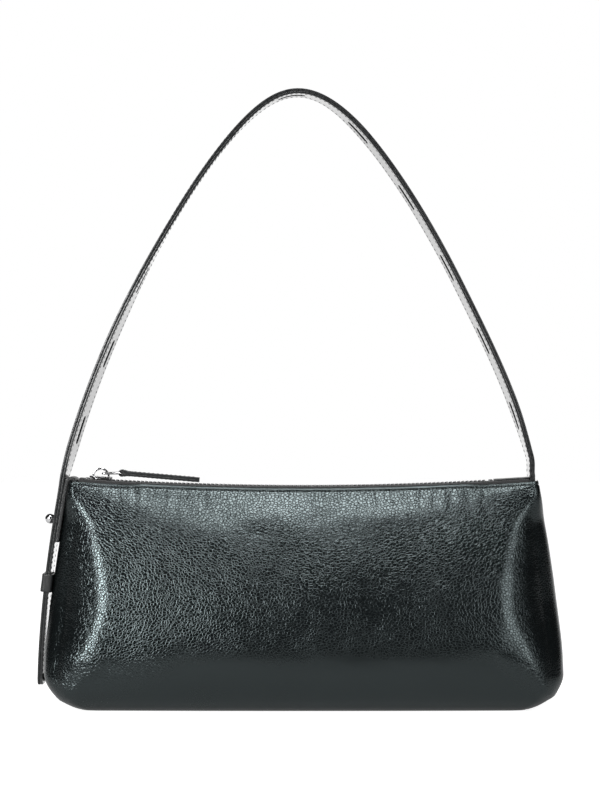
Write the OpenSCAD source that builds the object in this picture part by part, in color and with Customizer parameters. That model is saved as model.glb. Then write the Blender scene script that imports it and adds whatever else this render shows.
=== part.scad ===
// Leather shoulder bag: a soft boxed pouch with a zipped top and one long strap pierced with
// slots. The strap is sewn into the right end, and at the left end it is buttoned over a ball
// stud on a side tab, with its tail tucked through a keeper.
// Origin: middle of the flat base. +X runs along the zip, -Y is the front, +Z is up.

/* [Body] */
// Length of the bag at its top corners
top_w = 270; // [220:1:320]
// Greatest length of the bag, low on its sides
body_w = 297; // [280:1:340]
// Height of the top corners
body_h = 130.5; // [115:0.5:160]
// Greatest depth of the bag
body_d = 86; // [70:1:110]
// How far the flat base stays inside the greatest length at each end
base_inset = 24.5; // [14:0.5:40]
// Depth of the flat base
base_d = 50; // [36:1:60]
// Height at which the bag is deepest and longest
belly_h = 30; // [26:0.5:42]
// Height of the rounded bottom corners
corner_h = 21; // [14:0.5:25]
// Depth over the two leather lips in the middle of the top
lip_d = 18; // [17:0.5:24]
// How far the middle of the top hangs below its corners
top_sag = 4.8; // [2:0.1:8]
// Thickness of the body leather
leather_t = 1.5; // [1:0.1:2]

/* [Lining] */
// Thickness of the lining cloth
lining_t = 0.8; // [0.5:0.1:1.2]
// Height from the lining's top edge to the lip
lining_drop = 8; // [6:0.5:14]
// Thickness of the stiffener board in the base
board_t = 1.6; // [1:0.1:2.5]
// Width of the slip pocket
pocket_w = 130; // [80:1:160]
// Height of the slip pocket
pocket_h = 62; // [40:1:70]
// Thickness of the slip pocket
pocket_t = 0.8; // [0.5:0.1:1.2]

/* [Zip] */
// Pitch of the teeth on one tape
tooth_pitch = 2.4; // [2:0.1:3]
// Thickness of a tooth, up and down
tooth_t = 2.4; // [2:0.1:3]
// Reach of a tooth past the middle of the chain
tooth_bite = 0.7; // [0.5:0.05:0.9]
// Width of the closed chain
chain_w = 5; // [4.6:0.1:5.6]
// Thickness of the zip tape
tape_t = 0.6; // [0.4:0.05:0.8]
// Height of the chain's middle over the leather lips
chain_rise = 1; // [0.6:0.1:1.6]
// Distance from the left top corner to the middle of the closed slider
slider_inset = 17; // [17:0.5:23]
// Distance from the last tooth to the right top corner
chain_inset = 29; // [25:1:45]

/* [Slider and pull] */
// Length of the slider
slider_l = 13; // [12:0.5:13]
// Width of the slider at its shoulders
slider_w = 9.2; // [8.6:0.1:10]
// Thickness of each slider plate
plate_t = 1.1; // [0.9:0.1:1.4]
// Outer radius of the bridge over the slider
bridge_r = 5.1; // [4.6:0.1:5.6]
// Thickness of the wire of the pull ring
ring_wire_d = 1.3; // [1:0.1:1.6]
// Length of the pull ring between the middles of its end bars
ring_l = 11; // [9.5:0.1:12]
// Length of the leather pull beyond the ring
pull_l = 45; // [30:0.5:46]
// Width of the leather pull
pull_w = 6; // [5:0.5:7]
// Thickness of the leather pull
pull_t = 2.7; // [2:0.1:3]

/* [Strap] */
// Width of the strap
strap_w = 18; // [14:0.5:18]
// Thickness of each of the strap's two leather layers
ply_t = 1.5; // [1:0.1:1.8]
// Height of the strap's arch over the top corners
strap_drop = 223; // [180:1:280]
// Length of a slot in the strap
slot_l = 17; // [12:0.5:20]
// Width of a slot in the strap
slot_w = 4; // [3.6:0.1:4]
// Distance from one slot to the next
slot_pitch = 47.3; // [40:0.1:60]
// Number of slots in the arch of the strap
slot_count = 11; // [6:1:11]
// Height of the tail's end over the floor
tail_end_z = 12.5; // [10:0.5:30]
// How much less the tail spreads outwards than a strap that follows the flank
tail_tuck = 0.74; // [-2:0.02:0.9]

/* [Tab, stud and keeper] */
// Thickness of the side tab
tab_t = 2; // [1.6:0.1:2.2]
// Height from the side tab's lower end to the top corner
tab_drop = 35.5; // [32.5:0.5:44.5]
// Height from the ball stud to the top corner
stud_drop = 23; // [20.5:0.5:26.5]
// Diameter of the stud's ball
ball_d = 6; // [5:0.1:7]
// Diameter of the stud's neck
neck_d = 3.2; // [2.8:0.1:3.4]
// Height from the middle of the keeper to the top corner
keeper_drop = 59; // [50.5:0.5:66.5]
// Length of the keeper along the strap
keeper_l = 10.4; // [8:0.1:13]
// Thickness of the keeper
keeper_t = 1.4; // [1:0.1:1.8]

/* [Hidden] */

leather = [0.10, 0.115, 0.115];
cloth = [0.13, 0.13, 0.14];
board = [0.35, 0.33, 0.3];
nickel = [0.82, 0.82, 0.84];

$fn = 48;
fit = 0.3;          // running gap between soft pieces
seat = 0.1;         // gap between pieces that are sewn or clamped together
over = 1;           // overrun of a cut

// Shape of the body. The shares give how each outline bends between its named sizes.
base_w = body_w - 2 * base_inset;
flank_bend_share = 1.5;
belly_bend_share = 1.6;
shoulder_bend_share = 0.9;
bottom_bend_share = 1.7;
underside_bend_share = 2.2;
corner_round_share = [0.26, 1, 0.3];  // of the half depth, at the base, the middle and the top
side_round_share = [0.4, 0.96, 0.3];
round_rise_share = 0.56;              // of the height, where the corners are fully round
corner_turn_share = 5 / 6;            // of the steps round a corner, spent on its bend
column_share = 0.8;                   // of the height, where the strap squares the corners
face_bulge_share = 0.07;
column_bend_share = 10;
column_spread = 3.8;                  // added half depth at the squared top corners
sag_bend_share = 2;

function mix(a, b, t) = a + (b - a) * t;
function blend(shares, t, u) = mix(mix(shares[0], shares[1], t), shares[2], u);
function ease(a, b, v) = let (t = min(1, max(0, (v - a) / (b - a)))) t * t * (3 - 2 * t);

function half_w(z) =
    z > belly_h ? body_w / 2 - (body_w - top_w) / 2
            * pow((z - belly_h) / (body_h - belly_h), flank_bend_share)
    : z > corner_h ? body_w / 2
    : base_w / 2 + (body_w - base_w) / 2
            * pow(1 - pow(1 - z / corner_h, bottom_bend_share), 1 / bottom_bend_share);

function half_d(z) =
    z > belly_h ? lip_d / 2 + (body_d - lip_d) / 2
            * pow(1 - pow(min(1, (z - belly_h) / (body_h - belly_h)), belly_bend_share),
                  shoulder_bend_share)
    : base_d / 2 + (body_d - base_d) / 2
            * pow(1 - pow(1 - z / belly_h, underside_bend_share), 1 / underside_bend_share);

// How far the wall hangs below height z, at a share of its half length from the middle.
function sag(share, z) = top_sag * (1 - pow(share, 2))
    * pow(max(0, z - belly_h) / (body_h - belly_h), sag_bend_share);

// One point of the wall: at height z, a share along the front face from the left seam (-1)
// to the right seam (1), moved inwards by inset. Back walls mirror it.
face_steps = 26;
function steps_share(i) = 2 * i / face_steps - 1;
straight_share = 0.55;                // of the steps, spent on the face between the corners

function wall_point(t, z, inset) =
    let (a = half_w(z) - inset, b = half_d(z) - inset)
    let (fill = ease(0, body_h * round_rise_share, z))
    let (square = ease(body_h * column_share, body_h, z))
    let (rx = b * blend(corner_round_share, fill, square))
    let (ry = b * blend(side_round_share, fill, square))
    let (turn = min(1, max(0, (abs(t) - straight_share) / (1 - straight_share))))
    let (angle = 90 * min(1, turn / corner_turn_share))
    let (slide = max(0, (turn - corner_turn_share) / (1 - corner_turn_share)))
    let (x = (a - rx) * min(1, abs(t) / straight_share) + rx * sin(angle))
    let (y = (b - ry) * (1 - slide) + ry * cos(angle))
    let (bulge = 1 - face_bulge_share * pow(x / a, 2))
    let (column = column_spread * pow(x / a, column_bend_share)
            * square * (y / b))
    [sign(t) * x, -(y * bulge + column), z - sag(x / a, z)];

// Heights of the rings of a lofted wall, closer together near the floor and the lip.
ring_shares = [0, 0.015, 0.035, 0.06, 0.09, 0.13, 0.18, 0.245, 0.32, 0.4, 0.49, 0.58, 0.67,
               0.75, 0.82, 0.88, 0.93, 0.97, 1];

// Half of the bag's wall, from the left seam round the front to the right seam.
module half_wall(bottom, top, inset, thickness) {
    n = len(ring_shares);
    m = face_steps + 1;
    heights = [for (s = ring_shares) mix(bottom, top, s)];
    points = [for (z = heights) each concat(
        [for (j = [0 : face_steps]) wall_point(steps_share(j), z, inset)],
        [for (j = [0 : face_steps]) wall_point(steps_share(face_steps - j), z, inset + thickness)]
    )];
    loop = 2 * m;
    sides = [for (i = [0 : n - 2]) for (j = [0 : loop - 1])
        let (a = i * loop + j, b = i * loop + (j + 1) % loop, c = a + loop, d = b + loop)
        each [[a, c, d], [a, d, b]]];
    lower = [for (j = [0 : face_steps - 1])
        let (a = j, b = j + 1, c = loop - 1 - j, d = loop - 2 - j)
        each [[a, b, d], [a, d, c]]];
    upper = [for (j = [0 : face_steps - 1])
        let (k = (n - 1) * loop, a = k + j, b = k + j + 1, c = k + loop - 1 - j,
             d = k + loop - 2 - j)
        each [[a, d, b], [a, c, d]]];
    polyhedron(points, concat(sides, lower, upper), convexity = 10);
}

// A whole ring of the wall at one height, for pieces that go all the way round.
function ring(z, inset) = concat(
    [for (j = [0 : face_steps]) wall_point(steps_share(j), z, inset)],
    [for (j = [1 : face_steps - 1])
        let (p = wall_point(steps_share(face_steps - j), z, inset)) [p[0], -p[1], p[2]]]
);

// A closed cup: its outer wall goes up and its inner wall comes down.
module cup(bottom, top, inset, thickness) {
    outer = [for (s = ring_shares) ring(mix(bottom, top, s), inset)];
    inner = [for (s = ring_shares)
        ring(mix(bottom + thickness, top, 1 - s), inset + thickness)];
    rings = concat(outer, inner);
    n = len(rings);
    m = len(rings[0]);
    sides = [for (i = [0 : n - 2]) for (j = [0 : m - 1])
        let (a = i * m + j, b = i * m + (j + 1) % m, c = a + m, d = b + m)
        each [[a, c, d], [a, d, b]]];
    under = [for (j = [0 : m - 1]) [n * m, j, (j + 1) % m]];
    floor = [for (j = [0 : m - 1]) [n * m + 1, (n - 1) * m + (j + 1) % m, (n - 1) * m + j]];
    polyhedron(concat([for (r = rings) each r], [[0, 0, bottom], [0, 0, bottom + thickness]]),
               concat(sides, under, floor), convexity = 10);
}

module front_panel() {
    color(leather) half_wall(0, body_h, 0, leather_t);
}

module back_panel() {
    color(leather) mirror([0, 1, 0]) half_wall(0, body_h, 0, leather_t);
}

// The sole between the two panels, its underside on the floor.
module base_panel() {
    color(leather) linear_extrude(leather_t)
        polygon([for (p = ring(0, leather_t + seat)) [p[0], p[1]]]);
}

board_margin = 4;
module base_board() {
    color(board) translate([0, 0, leather_t]) linear_extrude(board_t)
        polygon([for (p = ring(0, leather_t + board_margin)) [p[0], p[1]]]);
}

lining_inset = leather_t + fit + seat;
lining_floor = leather_t + board_t + seat;
module lining() {
    color(cloth) cup(lining_floor, body_h - lining_drop, lining_inset, lining_t);
}

pocket_floor_share = 0.32;
pocket_steps = 12;
// An open pocket stitched on the back wall of the lining.
module slip_pocket() {
    near = lining_inset + lining_t + seat;
    far = near + pocket_t;
    low = body_h * pocket_floor_share;
    shares = [for (i = [0 : pocket_steps]) i / pocket_steps];
    function spot(u, v, inset) =
        let (z = low + pocket_h * v)
        let (x = pocket_w * (u - 1 / 2))
        let (a = half_w(z) - inset, b = half_d(z) - inset)
        [x, b * (1 - face_bulge_share * pow(x / a, 2)), z - sag(x / a, z)];
    m = pocket_steps + 1;
    grid = [for (v = shares) each concat(
        [for (u = shares) spot(u, v, near)], [for (u = shares) spot(1 - u, v, far)])];
    loop = 2 * m;
    sides = [for (i = [0 : pocket_steps - 1]) for (j = [0 : loop - 1])
        let (a = i * loop + j, b = i * loop + (j + 1) % loop, c = a + loop, d = b + loop)
        each [[a, b, d], [a, d, c]]];
    lower = [for (j = [0 : pocket_steps - 1])
        let (a = j, b = j + 1, c = loop - 1 - j, d = loop - 2 - j) each [[a, d, b], [a, c, d]]];
    upper = [for (j = [0 : pocket_steps - 1])
        let (k = pocket_steps * loop, a = k + j, b = a + 1, c = k + loop - 1 - j, d = c - 1)
        each [[a, b, d], [a, d, c]]];
    color(cloth) polyhedron(grid, concat(sides, lower, upper), convexity = 10);
}

// The zip lies on an arc, because the middle of the top hangs lower than its corners.
slider_x = slider_inset - top_w / 2;
chain_end = top_w / 2 - chain_inset;
arc_r = pow(top_w / 2, 2) / (2 * top_sag);
chain_z = body_h - top_sag + chain_rise;
arc_z = chain_z + arc_r;
function arc_angle(s) = s / arc_r * 180 / PI;

// Places a piece at a distance s along the chain, standing on the chain's middle plane.
module on_arc(s) {
    translate([0, 0, arc_z]) rotate([0, -arc_angle(s), 0]) translate([0, 0, -arc_r]) children();
}

// Sweeps an outline of [across, up] points along the chain from s0 to s1.
arc_fn = 2000;                   // steps in the whole circle, of which the chain takes a few
module along_arc(s0, s1, outline) {
    translate([0, 0, arc_z]) rotate([-90, 90, 0]) rotate([0, 0, -arc_angle(s1)])
        rotate_extrude(angle = arc_angle(s1 - s0), $fn = arc_fn)
            polygon([for (p = outline) [arc_r - p[1], p[0]]]);
}

corner_room = 4.5;               // at each end of the top, for the strap's sewn-in ends
tape_end = top_w / 2 - corner_room - fit;
tape_steps = 4;
// Half the distance between the leather walls, h below the lip and where they lie closest.
function tape_wall(h) = (half_d(body_h - h) - leather_t) * (1 - face_bulge_share) - seat;
// The tape lies flat beside the teeth and turns down behind the leather, to the lining.
module zip_tape() {
    depths = between(0, lining_drop - chain_rise - fit, tape_steps);
    inner_edge = chain_w / 2 + seat;
    outline = concat(
        [[inner_edge, tape_t / 2], [tape_wall(0), tape_t / 2]],
        [for (h = depths) [tape_wall(h), -chain_rise - h]],
        [for (h = reversed(depths)) [tape_wall(h) - 2 * tape_t, -chain_rise - h]],
        [[tape_wall(0) - 2 * tape_t, -tape_t / 2], [inner_edge, -tape_t / 2]]
    );
    color(cloth) along_arc(-tape_end, tape_end, outline);
}

module zip_tape_front() {
    mirror([0, 1, 0]) zip_tape();
}

module zip_tape_back() {
    zip_tape();
}

tooth_w_share = 0.44;            // of the pitch
tooth_chamfer = 0.35;
chain_start = slider_x + slider_l / 4;
module tooth() {
    w = tooth_pitch * tooth_w_share;
    root = chain_w / 2;
    half = tooth_t / 2;
    rotate([90, 0, 90]) translate([0, 0, -w / 2]) linear_extrude(w) polygon([
        [root, -half], [root, half], [tooth_chamfer - tooth_bite, half],
        [-tooth_bite, half - tooth_chamfer], [-tooth_bite, tooth_chamfer - half],
        [tooth_chamfer - tooth_bite, -half]
    ]);
}

module zip_teeth(shift) {
    color(nickel) for (s = [chain_start + shift : tooth_pitch : chain_end]) on_arc(s) tooth();
}

module zip_teeth_front() {
    mirror([0, 1, 0]) zip_teeth(0);
}

module zip_teeth_back() {
    zip_teeth(tooth_pitch / 2);
}

stop_l = 2.2;
stop_w = 1.6;
stop_gap = 1.2;
module zip_top_stops() {
    color(nickel) for (side = [-1, 1]) on_arc(slider_x - slider_l / 2 - seat - stop_l / 2)
        translate([-stop_l / 2, side * (chain_w / 2 - stop_w / 2) - stop_w / 2, -tooth_t / 2])
            cube([stop_l, stop_w, tooth_t]);
}

module zip_bottom_stop() {
    color(nickel) on_arc(chain_end + stop_gap + stop_l / 2)
        translate([-stop_l / 2, -chain_w / 2, -tooth_t / 2]) cube([stop_l, chain_w, tooth_t]);
}

end_tab_t = 1.2;
end_tab_side = 0.6;
// Leather tabs folded over the two ends of the tape.
module end_tab(s0, s1) {
    half = tape_wall(0) - end_tab_side;
    color(leather) along_arc(s0, s1, [[-half, tape_t / 2 + seat], [-half, tape_t / 2 + end_tab_t],
        [half, tape_t / 2 + end_tab_t], [half, tape_t / 2 + seat]]);
}

module zip_end_tab_left() {
    end_tab(-tape_end, slider_x - slider_l / 2 - stop_l - 3 * seat);
}

module zip_end_tab_right() {
    end_tab(chain_end + 2 * stop_gap + stop_l, tape_end);
}

// The slider: two plates joined by the post between the rows of teeth, and a bridge on top.
channel_room = 0.15;
channel_half = tooth_t / 2 + channel_room;
flange_t = 0.9;
flange_gap = 0.45;               // half height of the slot that the tape runs in
post_w = 1.3;
post_l = 4;
tail_w_share = 0.82;             // width at the closed end, of the width at the shoulders
bridge_w = 2.2;
bridge_t = 1.2;
shield = [[-slider_l / 2, slider_w / 4], [-slider_l / 2 + slider_l / 8, slider_w / 2],
          [slider_l / 8, slider_w / 2], [slider_l / 2, slider_w / 2 * tail_w_share]];
module slider_plate() {
    polygon(concat(shield, [for (i = [len(shield) - 1 : -1 : 0]) [shield[i][0], -shield[i][1]]]));
}

module slider_body() {
    top = channel_half + plate_t;
    flange_y = slider_w / 2 * tail_w_share - flange_t;
    color(nickel) on_arc(slider_x) {
        for (side = [-1, 1]) {
            translate([0, 0, side > 0 ? channel_half : -top])
                linear_extrude(plate_t) slider_plate();
            for (edge = [-1, 1])
                translate([-slider_l / 4, edge > 0 ? flange_y : -flange_y - flange_t,
                           side > 0 ? flange_gap : -channel_half - seat])
                    cube([slider_l * 3 / 4, flange_t, channel_half + seat - flange_gap]);
        }
        translate([-slider_l / 2 + seat, 0, -channel_half - seat])
            linear_extrude(2 * (channel_half + seat)) polygon([
                [0, -post_w / 4], [post_l / 2, -post_w / 2], [post_l, 0],
                [post_l / 2, post_w / 2], [0, post_w / 4]
            ]);
        translate([0, bridge_w / 2, top - seat]) rotate([90, 0, 0]) difference() {
            cylinder(h = bridge_w, r = bridge_r);
            translate([0, 0, -over]) cylinder(h = bridge_w + 2 * over, r = bridge_r - bridge_t);
            translate([-bridge_r - over, -bridge_r - over, -over])
                cube([2 * (bridge_r + over), bridge_r + over, bridge_w + 2 * over]);
        }
    }
}

// The ring hangs in the bridge by one end bar and carries the leather pull on the other.
pivot_x = 1.2;
pivot_up = 1.7;
ring_slope = -1;
pull_slope = 5;
ring_room = 0.6;
ring_bend_r = 1.2;
ring_half = pull_w / 2 + ring_room + ring_wire_d / 2;
module at_pivot() {
    on_arc(slider_x) translate([pivot_x, 0, channel_half + plate_t + pivot_up])
        rotate([0, arc_angle(slider_x) + ring_slope, 0]) children();
}

// One straight bar of wire and the bend at its end.
module ring_side(length) {
    rotate([90, 0, 90]) cylinder(h = length - 2 * ring_bend_r, d = ring_wire_d);
    translate([length - 2 * ring_bend_r, ring_bend_r, 0]) rotate([0, 0, -90])
        rotate_extrude(angle = 90) translate([ring_bend_r, 0]) circle(d = ring_wire_d);
}

module pull_ring() {
    color(nickel) at_pivot() for (turn = [0, 180]) {
        translate([ring_l / 2, 0, 0]) rotate([0, 0, turn]) {
            translate([ring_bend_r - ring_l / 2, -ring_half, 0]) ring_side(ring_l);
            translate([ring_l / 2, ring_bend_r - ring_half, 0]) rotate([0, 0, 90])
                ring_side(2 * ring_half);
        }
    }
}

pull_head_d = 4.2;
pull_eye_d = ring_wire_d + fit;
module leather_pull() {
    color(leather) at_pivot() translate([ring_l, 0, 0]) rotate([0, pull_slope - ring_slope, 0])
        translate([0, pull_w / 2, 0]) rotate([90, 0, 0]) difference() {
            union() {
                cylinder(h = pull_w, d = pull_head_d);
                translate([0, -pull_t / 2, 0]) cube([pull_l, pull_t, pull_w]);
            }
            translate([0, 0, -over]) cylinder(h = pull_w + 2 * over, d = pull_eye_d);
        }
}

// The strap's middle line, in the plane of the bag: down the left side, over the arch and
// into the right end.
strap_t = 2 * ply_t;
strap_left = top_w / 2 + seat + fit + tab_t + ply_t;
strap_right = top_w / 2 - leather_t - seat - ply_t;
arch_mid = (strap_right - strap_left) / 2;
arch_half = (strap_right + strap_left) / 2;
arch_z = body_h + strap_t / 2 + fit;
arch_round_share = 0.634;             // how round the arch is at its top
arch_shoulder_share = 0.89;           // how far its shoulders stand out
arch_stand = 2.3;                     // how far the arch leans out over its sewn right end
stand_shares = [0.05, 0.15, 0.5];     // of the arch's height, where that is full and ends
side_bend_share = 1.7;

side_follow_share = 1.04;             // of the flank's spread, taken by the strap
tail_spread = (body_w - top_w) / 2 * side_follow_share - tail_tuck;
function arch_x(t) = let (u = 1 - t, rest = 1 - arch_round_share - arch_shoulder_share)
    arch_half * sqrt(u * (arch_round_share + arch_shoulder_share * u + rest * u * u));
function arch_lean(t) = arch_stand * ease(0, stand_shares[0], t)
    * (1 - ease(stand_shares[1], stand_shares[2], t));
function arch_point(side, t) =
    [arch_mid + side * arch_x(t) + max(0, side) * arch_lean(t), arch_z + strap_drop * t];
function side_point(z) = [-strap_left - tail_spread
    * (1 - pow(1 - (arch_z - z) / (arch_z - tail_end_z), side_bend_share)), z];

arch_steps = 44;
// Shares of the arch's height, closer together towards its round top.
function rise_share(i) = 1 - pow(1 - i / arch_steps, 2);
hook_top = body_h + seat + tab_t;
// Height of the line that the arch swings about
hinge_z = hook_top + fit + strap_w / 2;

// Middle line of a stretch of strap, thickened by its distances from that line.
function normal_at(line, i) =
    let (a = line[max(0, i - 1)], b = line[min(len(line) - 1, i + 1)])
    let (d = b - a) [-d[1], d[0]] / norm(d);
function beside(line, r) = [for (i = [0 : len(line) - 1]) line[i] + r * normal_at(line, i)];
function reversed(list) = [for (i = [len(list) - 1 : -1 : 0]) list[i]];

// A layer of the strap along a line, between two distances to the line's left.
module layer(line, r0, r1) {
    rotate([90, 0, 0]) translate([0, 0, -strap_w / 2]) linear_extrude(strap_w)
        polygon(concat(beside(line, r0), reversed(beside(line, r1))));
}

function between(a, b, n) = [for (i = [0 : n]) a + (b - a) * i / n];
arch_line = concat(
    [for (i = [0 : arch_steps]) arch_point(-1, rise_share(i))],
    [for (i = [1 : arch_steps]) arch_point(1, rise_share(arch_steps - i))]
);

function run(line, i) = i == 0 ? 0 : norm(line[i] - line[i - 1]);
function lengths(line) = [for (i = 0, s = 0; i < len(line); i = i + 1,
    s = s + (i < len(line) ? run(line, i) : 0)) s];
// Place and slope at a distance along a line.
function place_on(line, sums, s) =
    let (i = max([for (k = [0 : len(line) - 2]) sums[k] <= s ? k : 0]))
    let (t = (s - sums[i]) / (sums[i + 1] - sums[i]), d = line[i + 1] - line[i])
    [line[i] + t * d, atan2(d[1], d[0])];

tab_end_z = body_h - tab_drop;
stud_z = body_h - stud_drop;
keeper_z = body_h - keeper_drop;
side_steps = 24;
side_line = [for (z = between(tail_end_z, arch_z, side_steps)) side_point(z)];
whole_line = concat(side_line, [for (i = [1 : len(arch_line) - 1]) arch_line[i]]);
whole_sums = lengths(whole_line);
stud_s = lookup(stud_z, [for (i = [0 : side_steps]) [side_line[i][1], whole_sums[i]]]);
slot_start = stud_s - neck_d / 2 - seat;

module slots(first, last) {
    for (n = [first : last]) {
        spot = place_on(whole_line, whole_sums, slot_start + slot_l / 2 + n * slot_pitch);
        translate([spot[0][0], 0, spot[0][1]]) rotate([0, -spot[1], 0]) {
            translate([-slot_l / 2 + slot_w / 2, -slot_w / 2, -strap_t])
                cube([slot_l - slot_w, slot_w, 2 * strap_t]);
            for (end = [-1, 1]) translate([end * (slot_l - slot_w) / 2, 0, -strap_t])
                cylinder(h = 2 * strap_t, d = slot_w);
        }
    }
}

// The arch ends in half rounds about the line that it swings about, clear of what is below.
module arch_trim() {
    reach = top_w;
    intersection() {
        children();
        union() {
            translate([-reach, -strap_w, hinge_z]) cube([2 * reach, 2 * strap_w, 2 * strap_drop]);
            translate([-reach, 0, hinge_z]) rotate([0, 90, 0])
                cylinder(h = 2 * reach, r = strap_w / 2);
        }
    }
}

module arch_layer(r0, r1) {
    color(leather) arch_trim() difference() {
        layer(arch_line, r0, r1);
        slots(1, slot_count);
    }
}

module strap_arch_face() {
    arch_layer(0, ply_t);
}

module strap_arch_backing() {
    arch_layer(-ply_t, 0);
}

// The right end goes down inside the leather of the flank, to the lining.
sewn_low = body_h - lining_drop + fit;
sewn_w = strap_w - 4 * seat;
sewn_steps = 5;
// Inner face of the leather at the flank, less a distance.
function flank_x(z, inset) = half_w(z) - leather_t - fit - inset;
module sewn_layer(inset, thickness, top) {
    heights = between(sewn_low, body_h, sewn_steps);
    rotate([90, 0, 0]) translate([0, 0, -sewn_w / 2]) linear_extrude(sewn_w)
        polygon(concat(
            [for (z = heights) [flank_x(z, inset), z]],
            [[flank_x(body_h, inset), top], [flank_x(body_h, inset + thickness), top]],
            [for (z = reversed(heights)) [flank_x(z, inset + thickness), z]]
        ));
}

module strap_anchor_face() {
    color(leather) sewn_layer(0, ply_t, arch_z);
}

module strap_anchor_backing() {
    color(leather) sewn_layer(ply_t, ply_t, arch_z);
}

// Below the keeper the tail hangs free, so it is a piece of its own with a rounded top.
tail_hinge_z = keeper_z - keeper_l / 2 - fit - ply_t;
tail_corner_r = 4;
side_piece = [for (z = between(tail_hinge_z + ply_t + fit, arch_z, side_steps)) side_point(z)];
tail_piece = [for (z = between(tail_end_z, tail_hinge_z, side_steps)) side_point(z)];

module side_layer(r0, r1) {
    color(leather) difference() {
        layer(side_piece, r0, r1);
        slots(0, 0);
    }
}

module strap_side_face() {
    side_layer(0, ply_t);
}

module strap_side_backing() {
    side_layer(-ply_t, 0);
}

module tail_outline() {
    half = strap_w / 2;
    rotate([0, 90, 0]) translate([0, 0, -top_w]) linear_extrude(2 * top_w) {
        translate([-tail_hinge_z - strap_t, -half])
            square([tail_hinge_z + strap_t - tail_end_z - tail_corner_r, strap_w]);
        translate([-tail_end_z - tail_corner_r - seat, tail_corner_r - half])
            square([tail_corner_r + seat, strap_w - 2 * tail_corner_r]);
        for (side = [-1, 1]) translate([-tail_end_z - tail_corner_r, side * (half - tail_corner_r)])
            circle(r = tail_corner_r);
    }
}

peg_head_d = 5;
peg_head_t = 1.4;
peg_d = 2;
peg_up = 4;
peg_spot = side_point(tail_end_z + peg_up);
peg_turn = atan2(side_point(tail_end_z + 2 * peg_up)[0] - side_point(tail_end_z)[0], 2 * peg_up);
module at_peg() {
    translate([peg_spot[0], 0, peg_spot[1]]) rotate([0, 90 + peg_turn, 0]) children();
}

module tail_layer(r0, r1) {
    color(leather) difference() {
        intersection() {
            layer(tail_piece, r0, r1);
            tail_outline();
        }
        at_peg() translate([0, 0, -strap_t]) cylinder(h = 2 * strap_t, d = peg_d + seat);
    }
}

module strap_tail_face() {
    tail_layer(0, ply_t);
}

module strap_tail_backing() {
    tail_layer(-ply_t, 0);
}

module tail_stop_peg() {
    color(nickel) at_peg() {
        translate([0, 0, -ply_t]) cylinder(h = strap_t + seat, d = peg_d);
        translate([0, 0, ply_t + seat / 2]) cylinder(h = peg_head_t, d = peg_head_d);
    }
}

// The side tab is sewn in at the top left, turns over the edge and lies under the strap.
tab_steps = 10;
tab_w = strap_w - 2 * seat;
screw_head_d = 7;
screw_head_t = 0.8;
screw_d = 2;
function tab_face(z) = side_point(z)[0] + ply_t + seat;

stud_spot = side_point(stud_z);
stud_ahead = side_point(stud_z + neck_d);
stud_turn = atan2(stud_ahead[0] - stud_spot[0], neck_d);
module at_stud() {
    translate([stud_spot[0], 0, stud_z]) rotate([0, stud_turn - 90, 0]) children();
}

module side_tab() {
    outer = [for (z = between(tab_end_z, hook_top, tab_steps)) [tab_face(z), z]];
    inner = [for (z = between(tab_end_z, body_h, tab_steps)) [tab_face(z) + tab_t, z]];
    color(leather) {
        difference() {
            rotate([90, 0, 0]) translate([0, 0, -tab_w / 2]) linear_extrude(tab_w)
                polygon(concat(outer,
                    [[-flank_x(body_h, tab_t), hook_top],
                     [-flank_x(body_h, tab_t), body_h + seat],
                     [tab_face(body_h) + tab_t, body_h + seat]],
                    reversed(inner)));
            at_stud() {
                translate([0, 0, -strap_t - tab_t]) cylinder(h = 2 * strap_t, d = neck_d + seat);
                translate([0, 0, -ply_t - tab_t - over])
                    cylinder(h = screw_head_t + seat + over, d = screw_head_d + seat);
            }
        }
        mirror([1, 0, 0]) sewn_layer(0, tab_t, hook_top);
    }
}

// A screw from behind the tab holds the ball stud, which stands through the strap's slot.
ball_cut_share = 0.42;
module ball_stud() {
    foot = -ply_t - tab_t + screw_head_t + seat;
    color(nickel) at_stud() difference() {
        union() {
            translate([0, 0, foot]) cylinder(h = ply_t + seat - foot + ball_d / 2, d = neck_d);
            translate([0, 0, ply_t + seat + ball_d * ball_cut_share]) sphere(d = ball_d);
        }
        translate([0, 0, foot - over]) cylinder(h = over + strap_t, d = screw_d + seat);
    }
}

module stud_screw() {
    head = -ply_t - tab_t + seat / 2;
    color(nickel) at_stud() {
        translate([0, 0, head]) cylinder(h = screw_head_t, d = screw_head_d);
        translate([0, 0, head]) cylinder(h = screw_head_t + strap_t, d = screw_d);
    }
}

// A closed band round the strap, its inner side sewn to the flank of the bag.
keeper_corner_r = 1.5;
keeper_spot = side_point(keeper_z);
keeper_turn = atan2(side_point(keeper_z + keeper_l)[0] - keeper_spot[0], keeper_l);
module keeper_loop() {
    half = [strap_t / 2 + fit, strap_w / 2 + fit];
    color(leather) translate([keeper_spot[0], 0, keeper_z]) rotate([0, keeper_turn, 0])
        translate([0, 0, -keeper_l / 2]) linear_extrude(keeper_l) difference() {
            union() {
                for (u = [-1, 1], v = [-1, 1])
                    translate([u * (half[0] + keeper_t - keeper_corner_r),
                               v * (half[1] + keeper_t - keeper_corner_r)])
                        circle(r = keeper_corner_r);
                square([2 * (half[0] + keeper_t - keeper_corner_r), 2 * (half[1] + keeper_t)],
                       center = true);
                square([2 * (half[0] + keeper_t), 2 * (half[1] + keeper_t - keeper_corner_r)],
                       center = true);
            }
            square([2 * half[0], 2 * half[1]], center = true);
        }
}

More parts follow.
